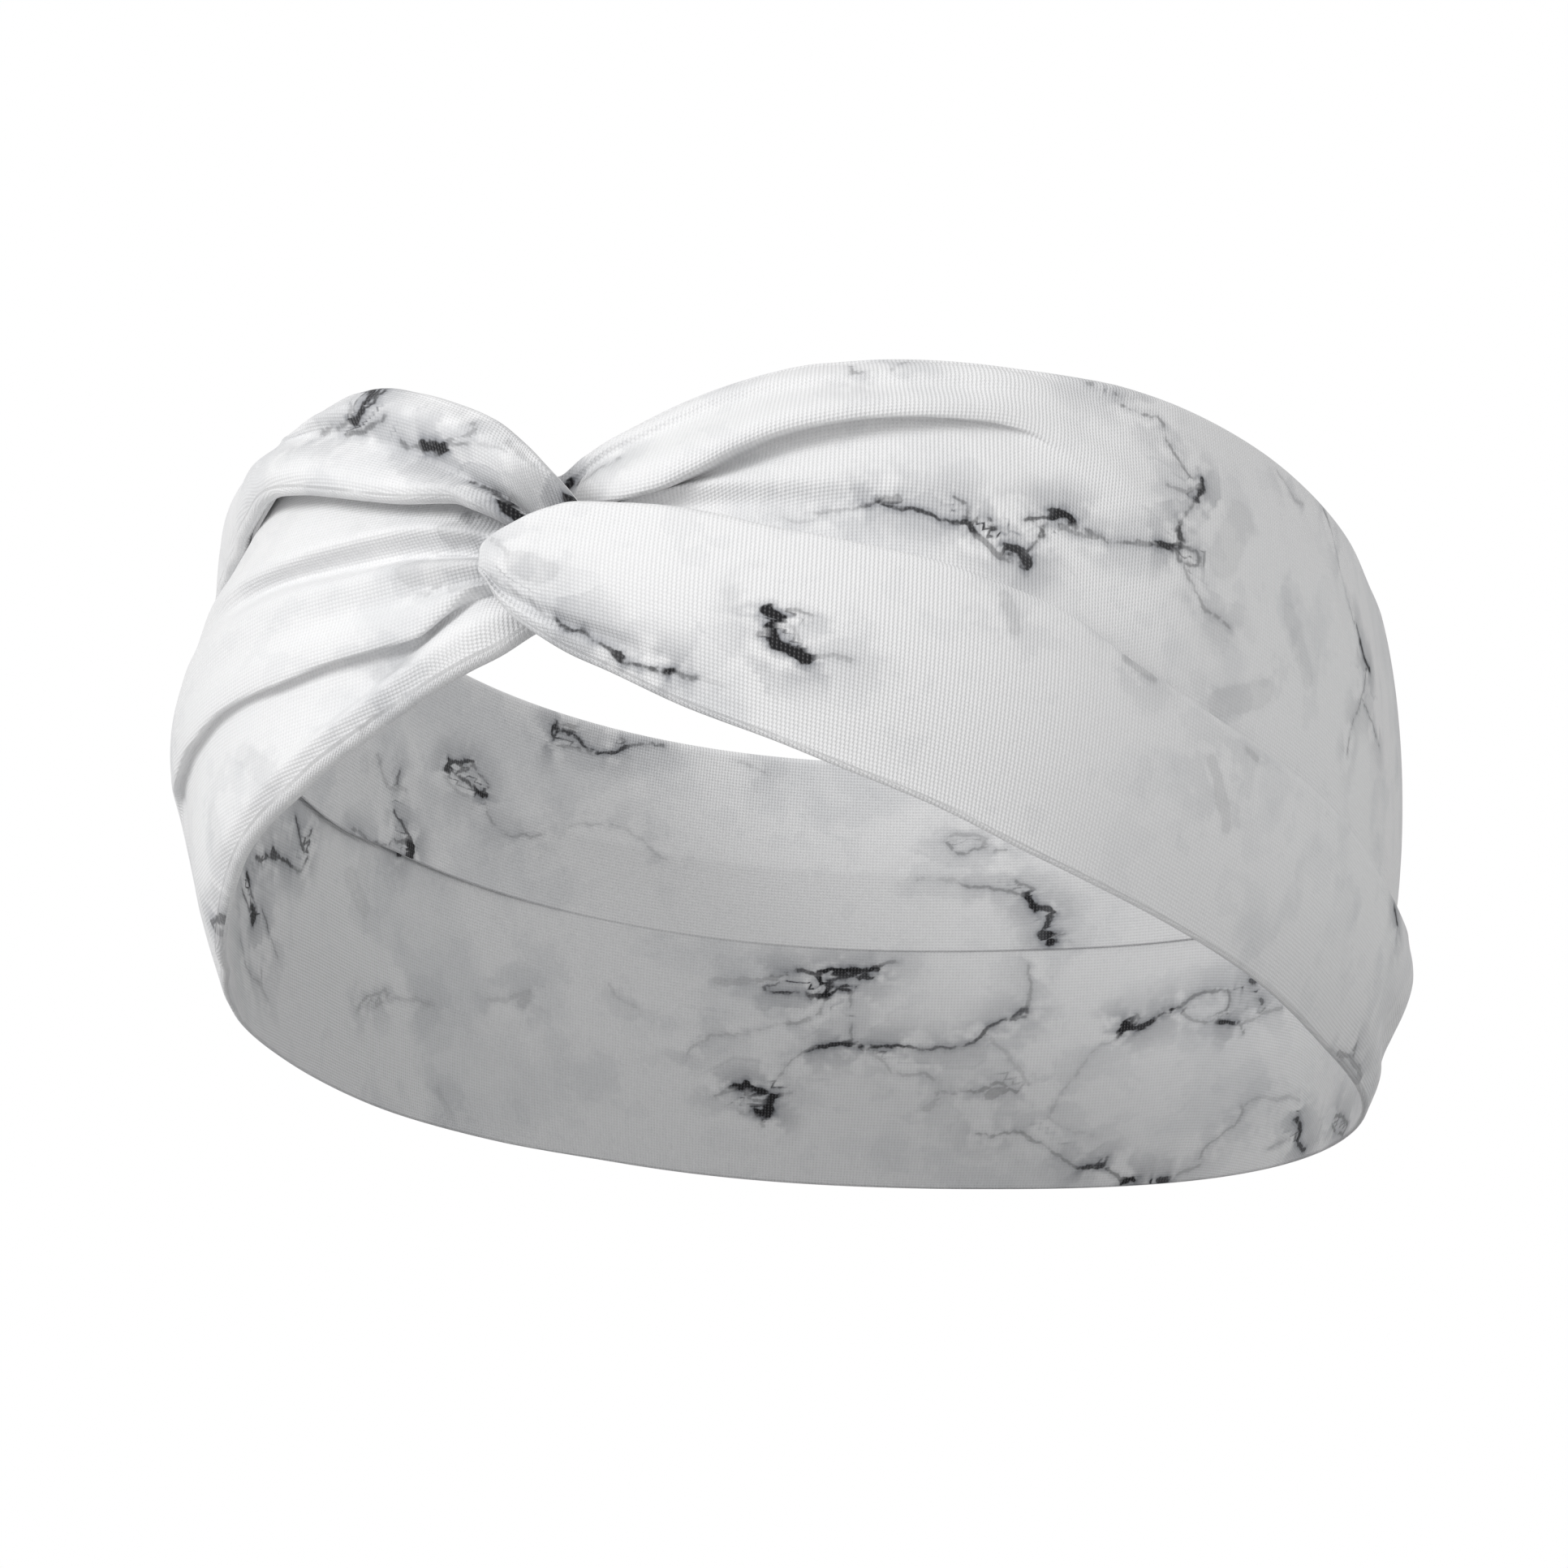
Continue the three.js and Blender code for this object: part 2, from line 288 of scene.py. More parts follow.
class Socket:
    """One output of a shader node, which takes part in sums as a number does."""

    def __init__(self, tree, output):
        self.tree, self.output = tree, output

    def node(self, kind, settings=None, result=0, **inputs):
        """Adds a node of a kind, its settings first, then its inputs by name or by number."""
        made = self.tree.nodes.new(kind)
        for key, value in (settings or {}).items():
            setattr(made, key, value)
        for key, value in inputs.items():
            socket = made.inputs[int(key[1:]) if key[0] == "_" else key.replace("_", " ")]
            if isinstance(value, Socket):
                self.tree.links.new(value.output, socket)
            else:
                socket.default_value = value
        return Socket(self.tree, made.outputs[result] if made.outputs else None)

    def maths(self, operation, *others):
        """A Math node of this value and the others, in that order."""
        values = {f"_{i}": value for i, value in enumerate((self, *others))}
        return self.node("ShaderNodeMath", {"operation": operation}, **values)

    def __add__(self, other):
        return self.maths("ADD", other)

    __radd__ = __add__

    def __mul__(self, other):
        return self.maths("MULTIPLY", other)

    __rmul__ = __mul__

    def __sub__(self, other):
        return self.maths("SUBTRACT", other)

    def __rsub__(self, other):
        return self.node("ShaderNodeMath", {"operation": "SUBTRACT"}, _0=other, _1=self)

    def step(self, low, high):
        """0 below low, 1 above high, smooth in between."""
        return self.node(
            "ShaderNodeMapRange",
            {"interpolation_type": "SMOOTHSTEP"},
            Value=self,
            From_Min=low,
            From_Max=high,
        )


PRINT_WHITE = (0.90, 0.90, 0.905, 1)
PRINT_MIST = (0.60, 0.615, 0.64, 1)
PRINT_SMOKE = (0.30, 0.31, 0.335, 1)
PRINT_INK = (0.012, 0.012, 0.014, 1)
# colour of the painted shade in the knit's rib valleys and stitch pits
KNIT_SHADOW = (0.42, 0.42, 0.43, 1)
WALE, COURSE = 0.52, 0.46  # width of a knitted rib and height of a stitch, millimetres
SHAKE, FINE_SHAKE, MOST_SHAKE = 2.0, 0.7, 1.2  # how far a vein strays from its route, millimetres
VEIN_EDGE, VEIN_BLUR, VEIN_HALO = 0.3, 1.1, 6.0  # reach of its ink, its grey rim and its smoke
KNIT_STRENGTH, KNIT_DEPTH = 0.55, 0.00016  # how much the stitches stand out, and their metres
CLOTH_ROUGHNESS, FUZZ_ROUGHNESS = 0.8, 0.12


def printed_jersey(name, seed):
    """Fine rib jersey with a marble print: mist in layered patches, ragged veins, ink knots."""
    material = bpy.data.materials.new(name)
    material.use_nodes = True
    tree = material.node_tree
    tree.nodes.clear()
    start = Socket(tree, None)

    def attribute(label):
        return start.node("ShaderNodeAttribute", {"attribute_name": label}, 1)

    def parts(vector):
        first = start.node("ShaderNodeSeparateXYZ", Vector=vector)
        return [Socket(tree, output) for output in first.output.node.outputs]

    def noise(vector, scale, detail, rough, colour=False, shift=0.0):
        moved = start.node(
            "ShaderNodeVectorMath", {"operation": "ADD"}, _0=vector,
            _1=(seed * 17.3 + shift, seed * 5.1 - shift, seed * 3.7),
        )
        return start.node(
            "ShaderNodeTexNoise", {}, 1 if colour else 0,
            Vector=moved, Scale=scale, Detail=detail, Roughness=rough,
        )

    def blend(factor, a, b):
        return start.node("ShaderNodeMix", {"data_type": "RGBA"}, 2, _0=factor, _6=a, _7=b)

    cloth, spot = attribute("cloth"), attribute("spot")
    vein_x, vein_y, vein_gap = parts(attribute("vein"))
    darkness, half_width, _ = parts(attribute("ink"))
    cloth_x, cloth_y, _ = parts(cloth)

    # veins: the stored offset is shaken by noise, so a smooth route prints as a ragged line
    shake_x, shake_y, _ = parts(noise(spot, 0.26, 3.0, 0.55, colour=True))
    fine_x, fine_y, _ = parts(noise(spot, 1.1, 2.0, 0.5, colour=True, shift=9.0))
    off_x = vein_x + (shake_x - 0.5) * SHAKE + (fine_x - 0.5) * FINE_SHAKE
    off_y = vein_y + (shake_y - 0.5) * SHAKE + (fine_y - 0.5) * FINE_SHAKE
    gap = (off_x * off_x + off_y * off_y).maths("SQRT")
    gap = (gap - half_width).maths("MAXIMUM", vein_gap - MOST_SHAKE)
    core = 1 - gap.step(0.0, VEIN_EDGE)
    rim = 1 - gap.step(0.0, VEIN_BLUR)
    halo = 1 - gap.step(0.0, VEIN_HALO)

    # mist: one soft layer and three of patches with rather crisp rims, like watered ink
    patch = noise(spot, 0.16, 3.0, 0.55, shift=3.0)
    cloud = noise(spot, 0.032, 3.0, 0.5)
    cloud_fine = noise(spot, 0.085, 4.0, 0.55, shift=21.0)
    mist = (cloud + cloud_fine * 0.5).step(0.72, 0.94) * 0.22
    mist = mist + (cloud + cloud_fine * 0.4).step(0.735, 0.75) * 0.07
    mist = mist + (cloud_fine + cloud * 0.3).step(0.70, 0.715) * 0.07
    mist = mist + (patch + halo * 0.12).step(0.60, 0.615) * 0.10
    smoke = halo * (patch + darkness * 0.14).step(0.46, 0.60) * darkness
    smoke = smoke * 0.55 + rim * darkness * 0.42
    colour = blend(mist, PRINT_WHITE, PRINT_MIST)
    colour = blend(smoke, colour, PRINT_SMOKE)
    colour = blend(core * darkness.maths("POWER", 1.4), colour, PRINT_INK)

    # knit: rounded ribs along the strip's width, each a column of small stitches, with painted
    # shade darkening the colour in the rib valleys and stitch pits
    rib = (cloth_x * (2 * math.pi / WALE)).maths("COSINE")
    stitch = (cloth_y * (2 * math.pi / COURSE) + rib.maths("ABSOLUTE") * 1.6).maths("SINE")
    fuzz = noise(cloth, 1.3, 3.0, 0.6, shift=5.0)
    valley = 1 - (rib * 0.5 + 0.5).step(0.0, 0.6)
    pit = 1 - (stitch * 0.5 + 0.5).step(0.0, 0.7)
    # painted shade: darker colour in the rib valleys and stitch pits, plus a faint random fuzz tone
    knit_shade_and_fuzz = valley * (pit * 0.17 + 0.05) + (fuzz - 0.5) * 0.05
    bump = start.node(
        "ShaderNodeBump", Strength=KNIT_STRENGTH, Distance=KNIT_DEPTH,
        Height=rib * 0.45 + stitch * 0.3 + fuzz * 0.4,
    )
    shader = start.node(
        "ShaderNodeBsdfPrincipled",
        Base_Color=blend(knit_shade_and_fuzz, colour, KNIT_SHADOW),
        Roughness=CLOTH_ROUGHNESS + (fuzz - 0.5) * FUZZ_ROUGHNESS,
        Normal=bump,
        Sheen_Weight=0.12,
        Sheen_Roughness=0.5,
        Specular_IOR_Level=0.22,
    )
    start.node("ShaderNodeOutputMaterial", Surface=shader)
    return material


# heights and depths in millimetres at angles from the front, growing to the right
LOWER_BOTTOM = [
    (-4.5, 36.3, 3.6), (-4.35, 35.5, 4.2), (-3.6, 33.9, 4.8), (-3.0, 32.3, 4.9),
    (-2.2, 30.6, 4.8), (-1.4, 29.4, 4.6), (-0.2, 28.0, 4.4), (2.4, 25.4, 4.0),
    (4.8, 23.6, 3.8), (10.6, 19.2, 3.4),
    (16.7, 15.9, 2.8), (21.1, 13.6, 2.4), (27.5, 10.9, 1.8), (36, 7.3, 1.3), (46, 4.8, 0.9),
    (55, 3.4, 0.6), (68, 2.0, 0.5), (84, 0.8, 0.7), (100, 0.2, 1.4), (115, 0, 1.9),
    (135, 0, 1.4), (160, 0, 1.0), (181, 0, 0.4), (195, 0, -0.4), (208, 0, -0.6), (218, 0, -0.8),
    (232, 0, 1.8), (250, 0, 3.6), (266, 0, 3.0), (280, 0, 1.6), (290, 0, 0.4), (300, 0, -1.0),
    (312, 0, -1.7), (318, 0.4, -0.4), (323.7, 2.2, 0.8), (328.4, 5.5, 1.6), (332.2, 8.2, 2.3),
    (335.7, 10.3, 2.8), (339.3, 12.2, 3.3), (342.3, 14.3, 3.7), (344.9, 16, 4.0),
    (348.6, 18.7, 4.2), (351.9, 21.6, 4.2), (354.6, 23.9, 4.0), (357, 26.1, 3.0),
    (359, 28.9, 1.4), (360, 30.2, 0.4), (361, 31.6, -0.6),
]
LOWER_TOP = [
    (-4.5, 37.3, 3.6), (-4.35, 38.3, 4.3), (-3.9, 39.1, 4.9), (-3.1, 40.0, 5.3), (-2.0, 41.0, 5.5),
    (-0.9, 42.0, 5.5), (0.6, 42.9, 5.4), (2.2, 43.5, 5.2), (5.6, 43.2, 4.9), (8.3, 42.8, 4.8),
    (12.3, 41.7, 4.4), (15, 40.7, 4.1), (20, 39.7, 3.5), (25.5, 38.7, 2.9), (31.3, 37, 2.5),
    (36.1, 35.4, 2.2), (42.5, 31.6, 1.9), (49.6, 29.1, 1.7), (59, 27.2, 1.5), (74, 25.8, 1.4),
    (94.7, 23.9, 1.2), (107, 23.7, 1.0), (118, 24.6, 1.0), (132, 33, 0.3), (148, 43.9, 0),
    (162, 46.6, 0), (250, 46.6, 0), (262, 46.6, 0), (275, 46, -0.1), (288, 45.2, -0.5),
    (294, 45.2, -0.8), (298, 45.8, -1.4), (303, 47.5, -3.0), (309, 52.6, -4.6), (315, 56, -5.6),
    (323, 57, -5.2), (330, 56.4, -2.8), (337, 54.6, 0.2), (344, 52.0, 1.8), (350.6, 48.5, 2.2),
    (354, 47.0, 2.0), (356.2, 46.2, 1.2), (358, 45.2, -0.2), (361, 43.5, -1.2),
]
LOWER_SHARES = (0, 0.06, 0.15, 0.22, 0.30, 0.38, 0.47, 0.56, 0.65, 0.75, 0.85, 0.93, 1)
LOWER_CROWN = [
    (-4.5, 0), (-3.0, 1.0), (0, 1.5), (6, 1.7), (15, 1.4), (30, 0.9), (60, 0.5), (90, 0.5),
    (108, 0.9), (120, 0.7), (135, 0.2), (250, 0.3), (285, 0.8), (300, 1.6), (361, 0),
]
# traced guide lines of the left end, from the rim upwards: rim roll, its crease, the shadow under
# the long fold, the fold's edge, then ridges and valleys in turn up to the part tucked out of sight
LEFT_PLEATS = {
    1: [(312, 3.2, -1.3), (322, 4.2, 1.0), (328.7, 7.6, 2.4), (333.7, 10.6, 3.2),
        (337.7, 13.1, 3.9), (342.5, 16.4, 4.5), (346.3, 19.1, 4.9), (349.8, 22.2, 5.1),
        (352.8, 25.4, 4.9), (355.7, 28.2, 4.4), (358.4, 30.4, 2.6), (361, 32.4, -0.2)],
    2: [(312, 8.6, -1.0), (322, 9.2, 1.0), (329, 11.3, 2.3), (336, 15, 3.2), (342, 18.3, 3.4),
        (345.5, 20.9, 3.1), (347.2, 22.6, 2.8), (348.6, 24.3, 2.6), (350.1, 26, 2.6),
        (351.5, 27.7, 2.6), (353.3, 30.1, 2.7), (355.1, 31.7, 2.6), (356.7, 32.6, 2.0),
        (359, 33, 0.4), (361, 33.6, -0.8)],
    3: [(305, 23.3, -0.3), (312, 22.9, -0.8), (318, 22.8, -0.6), (325, 23.1, 0.6),
        (331.3, 24.5, 1.5), (338.7, 25.1, 2.5), (344.1, 26.2, 3.0), (348.7, 27.1, 3.2),
        (351.5, 28.2, 3.2), (353.3, 30.3, 3.1), (355.1, 32.0, 2.9), (357, 33.0, 2.0),
        (359, 33.6, 0.4), (361, 34, -0.9)],
    4: [(305, 23.5, 0.4), (312, 22.6, 0.3), (318, 22.5, 0.6), (325, 22.7, 1.9), (331.3, 24.1, 2.8),
        (335.4, 24.6, 3.3), (338.7, 24.7, 3.9), (344.1, 25.8, 4.6), (348.7, 26.6, 5.0),
        (351.5, 27.4, 5.1), (353.5, 29.9, 4.7), (355.1, 32.5, 3.9), (357, 33.4, 2.6),
        (359, 34, 1.0), (361, 34.4, -0.6)],
    5: [(305, 27.0, 0.6), (312, 25.4, 0.7), (318, 25.2, 1.0), (324, 25.3, 2.0), (331, 26.7, 3.0),
        (338, 27.6, 4.1), (344, 28.6, 4.9), (348, 29.5, 5.2), (352, 31.2, 5.2), (356, 33.7, 4.2),
        (358, 34.3, 2.4), (361, 34.9, -0.4)],
    6: [(305, 31.4, 0.7), (315, 31, 0.6), (324, 29.4, 1.6), (331, 30, 2.6), (338, 31, 3.6),
        (344, 31.6, 4.1), (348, 32.2, 4.2), (352, 33.4, 3.9), (356, 34.9, 3.0), (358, 35.3, 1.6),
        (361, 35.6, -0.8)],
    7: [(305, 35.5, 0.2), (315, 35.8, -0.2), (326.5, 34.7, 1.5), (332, 34.9, 2.9),
        (338, 35.8, 3.8), (345, 35.9, 4.8), (350.5, 36.6, 5.1), (354, 36.6, 4.9), (356, 36.6, 4.0),
        (358, 36.6, 2.0), (361, 36.6, -0.4)],
    8: [(305, 38.6, -0.6), (315, 39.4, -1.2), (325, 38.9, -0.4), (331, 38.5, 0.8),
        (338, 38.9, 1.6), (345, 39, 1.9), (349.6, 39.2, 2.0), (355, 38.7, 1.7), (357, 38.4, 0.9),
        (361, 38, -1.2)],
    9: [(305, 41.5, -1.0), (315, 43, -1.9), (323, 42.5, -0.9), (330, 40.8, 1.4), (337, 40.4, 3.5),
        (344, 41, 4.8), (350.6, 41.6, 5.1), (354, 41.0, 4.8), (356.2, 40.4, 3.6), (358, 39.9, 1.8),
        (361, 39.2, -0.4)],
    10: [(305, 44.6, -1.4), (315, 46.6, -2.6), (323, 46.2, -2.2), (330, 45.1, 0.2),
         (337, 44.4, 2.6), (344, 44.1, 3.9), (350.6, 43.6, 4.3), (354, 42.8, 3.7),
         (356.2, 42.2, 2.4), (358, 41.6, 0.8), (361, 40.6, -0.7)],
    11: [(305, 46.8, -2.4), (315, 49.4, -4.2), (323, 49.5, -3.4), (330, 49, -0.9),
         (337, 48.4, 1.7), (344, 47.6, 3.0), (350.6, 46, 3.2), (354, 44.8, 2.8),
         (356.2, 44.0, 1.7), (358, 43.2, 0.2), (361, 42, -0.9)],
}
LOWER_THICKNESS = [
    (-4.5, 0.2), (-4.2, 1.8), (-3.6, 3.0), (-1, 3.4), (6, 3.2), (20, 2.6), (40, 2.2), (70, 2.0),
    (300, 2.0), (318, 2.1), (330, 2.5), (345, 3.0), (361, 2.6),
]
# share of that thickness left at the lower edge, which is sewn and pressed
LOWER_HEM = [(-4.5, 0.6), (6, 0.5), (60, 0.4), (300, 0.4), (320, 0.7), (361, 0.9)]


def guide_net(angles, bottom, top, shares, crown, folds):
    """Height and depth of each guide line at each angle, where traced folds take over by turns."""
    bottom, top = smooth(bottom, angles), smooth(top, angles)
    crown = smooth(crown, angles)[:, 0]
    net = np.empty((len(angles), len(shares), 2))
    for k, share in enumerate(shares):
        line = bottom * (1 - share) + top * share
        line[:, 1] += crown * (1 - (2 * share - 1) ** 2) ** 1.5
        for traced, plain_angle, traced_angle in folds:
            if k in traced:
                weight = np.clip((angles - plain_angle) / (traced_angle - plain_angle), 0, 1)
                weight = (weight * weight * (3 - 2 * weight))[:, None]
                line = line * (1 - weight) + smooth(traced[k], angles) * weight
        net[:, k] = line
    return net


def station_angles(tip, *runs):
    """Angles of a strip's sections: those of its rounded tip, then even steps in each run."""
    return np.unique(np.round(np.concatenate([tip] + [np.arange(*run) for run in runs]), 4))


def hump(at, middle, spread):
    """1 at the middle, dying away smoothly on both sides."""
    return np.exp(-(((at - middle) / spread) ** 2))


LOBE_TIP = -4.5 + 1.9 * (1 - np.cos(np.linspace(0, math.pi / 2, 16)))
lower_angles = station_angles(
    LOBE_TIP, (-2.6, 12, 0.3), (12, 44, 0.5), (44, 130, 0.9), (130, 296, 0.75), (296, 312, 0.7),
    (312, 361.01, 0.4))
lower_net = guide_net(
    lower_angles, LOWER_BOTTOM, LOWER_TOP, LOWER_SHARES, LOWER_CROWN, [(LEFT_PLEATS, 303, 312)])
# the lobe's lower edge is a roll with a crease above it that runs out along the strip
LOBE_CREASE = [(-4.5, 0.2), (-3.0, 0.9), (1, 1.1), (5, 0.8), (9, 0.2), (13, 0), (361, 0)]
ROLL_RISE, CREASE_FALL = 0.3, 0.75
crease = smooth(LOBE_CREASE, lower_angles)[:, 0]
lower_net[:, 1, 1] += ROLL_RISE * crease
lower_net[:, 2, 1] -= CREASE_FALL * crease
# past the ear the outer face swells a little over a soft hollow
EAR_ANGLE, EAR_SPREAD = 114, 9.0
SWELL, SWELL_HEIGHT, SWELL_SPREAD = 1.0, 18.5, 4.5
HOLLOW, HOLLOW_HEIGHT, HOLLOW_SPREAD = 1.7, 9.3, 3.2
ear = hump(lower_angles, EAR_ANGLE, EAR_SPREAD)[:, None]
heights = lower_net[..., 0]
lower_net[..., 1] += ear * (
    SWELL * hump(heights, SWELL_HEIGHT, SWELL_SPREAD)
    - HOLLOW * hump(heights, HOLLOW_HEIGHT, HOLLOW_SPREAD)
)
lower_loops = section_loops(
    lower_net, smooth(LOWER_THICKNESS, lower_angles), smooth(LOWER_HEM, lower_angles))

# veins of the print, plus one band of painted shade in the lower outside list: darkness, half
# width in millimetres, then the route's (angle, height), its heights as shares of the ring's half
# width
LOWER_OUTSIDE_VEINS_AND_SHADE = [
    (0.45, 0.4, (354.2, 0.554), (354.5, 0.532)),
    (0.2, 0.5, (355.3, 0.467), (354.9, 0.458)),
    (0.3, 0.1, (351.8, 0.425), (352.3, 0.438), (353.1, 0.442), (354.1, 0.446)),
    (0.7, 0.25, (324.9, 0.039), (323.6, 0.034), (321.8, 0.036)),
    (0.35, 0.4, (322.2, 0.022), (323.3, 0.032)),
    (0.25, 0.1, (346.5, 0.231), (347.4, 0.245), (348.6, 0.257)),
    (0.35, 0.08, (-2.9, 0.442), (-1.9, 0.428), (-0.9, 0.414), (-0.1, 0.401), (0.8, 0.388),
     (1.8, 0.373)),
    (0.85, 0.12, (1.4, 0.38), (2.1, 0.37), (2.7, 0.36), (3.3, 0.362), (3.8, 0.354), (4.6, 0.341),
     (5.4, 0.329), (6.2, 0.318), (6.9, 0.31), (8, 0.301), (8.7, 0.298)),
    (0.95, 0.25, (5.7, 0.326), (6.3, 0.317)),
    (1, 0.28, (9, 0.299), (9.5, 0.298)),
    (0.6, 0.1, (9.5, 0.298), (10.1, 0.293), (10.4, 0.286)),
    (0.6, 0.12, (10.1, 0.293), (10.8, 0.288), (11.4, 0.287)),
    (0.2, 0.2, (11.4, 0.287), (12.7, 0.278)),
    # painted shade: a faint grey band on the lobe beside the knot, drawn as a vein
    (0.25, 0.15, (-3.2, 0.503), (-2.2, 0.485), (-1.3, 0.466), (-0.7, 0.45), (-0.3, 0.436),
     (0.5, 0.433)),
    (1, 0.5, (15.7, 0.392), (16.1, 0.385), (16.4, 0.38)),
    (0.5, 0.1, (16.4, 0.38), (16.8, 0.392), (17.2, 0.394), (17.8, 0.392), (18.4, 0.381)),
    (0.5, 0.2, (15.9, 0.366), (15.4, 0.358), (15.2, 0.355)),
    (1, 0.5, (15.9, 0.366), (16.1, 0.351), (16.4, 0.339), (17.1, 0.331), (17.8, 0.324),
     (18.2, 0.326)),
    (0.3, 0.08, (16.2, 0.368), (16.9, 0.37), (17.5, 0.36), (17.9, 0.345)),
    (0.35, 0.15, (17.8, 0.328), (19.1, 0.331), (20.1, 0.331), (21.2, 0.326)),
    (0.2, 0.5, (31.1, 0.457), (31.6, 0.436), (32.1, 0.411)),
    (0.3, 0.5, (41.4, 0.406), (42.6, 0.397), (43.7, 0.392)),
    (0.2, 0.8, (51, 0.295), (52.6, 0.25), (53.7, 0.216)),
    (0.25, 0.4, (55.4, 0.339), (56.7, 0.333)),
    (0.95, 0.25, (98.8, 0.294), (100.3, 0.282), (101.5, 0.271)),
    (0.4, 0.15, (101.5, 0.271), (101, 0.239)),
    (0.5, 0.2, (92.3, 0.008), (96.1, 0.019), (98.1, 0.028), (97.4, 0.041)),
    (0.4, 0.3, (97.8, 0.021), (101.5, 0.015), (104.5, 0.011)),
    (0.24, 1.1, (353.3, 0.525), (355.3, 0.533)),
    (0.2, 1.5, (350.9, 0.463), (355.5, 0.464)),
    (0.2, 1, (354.2, 0.439), (356, 0.448)),
    (0.17, 1.3, (-0.8, 0.463), (0.8, 0.443)),
    (0.18, 0.8, (347.9, 0.324), (350.6, 0.33)),
    (0.1, 1.4, (334.3, 0.242), (338.1, 0.188)),
    (0.1, 1.6, (328.6, 0.166), (329.4, 0.101)),
    (0.6, 0.1, (140, 0.5), (146, 0.44), (151, 0.42), (158, 0.37)),
    (0.9, 0.3, (150, 0.43), (152, 0.4)),
    (0.5, 0.1, (188, 0.52), (193, 0.4), (200, 0.33), (203, 0.22)),
    (0.85, 0.35, (199, 0.34), (202, 0.3)),
    (0.45, 0.1, (228, 0.18), (236, 0.26), (240, 0.36), (249, 0.4)),
    (0.9, 0.3, (238, 0.31), (240, 0.35)),
    (0.4, 0.1, (268, 0.4), (274, 0.3), (282, 0.26)),
]
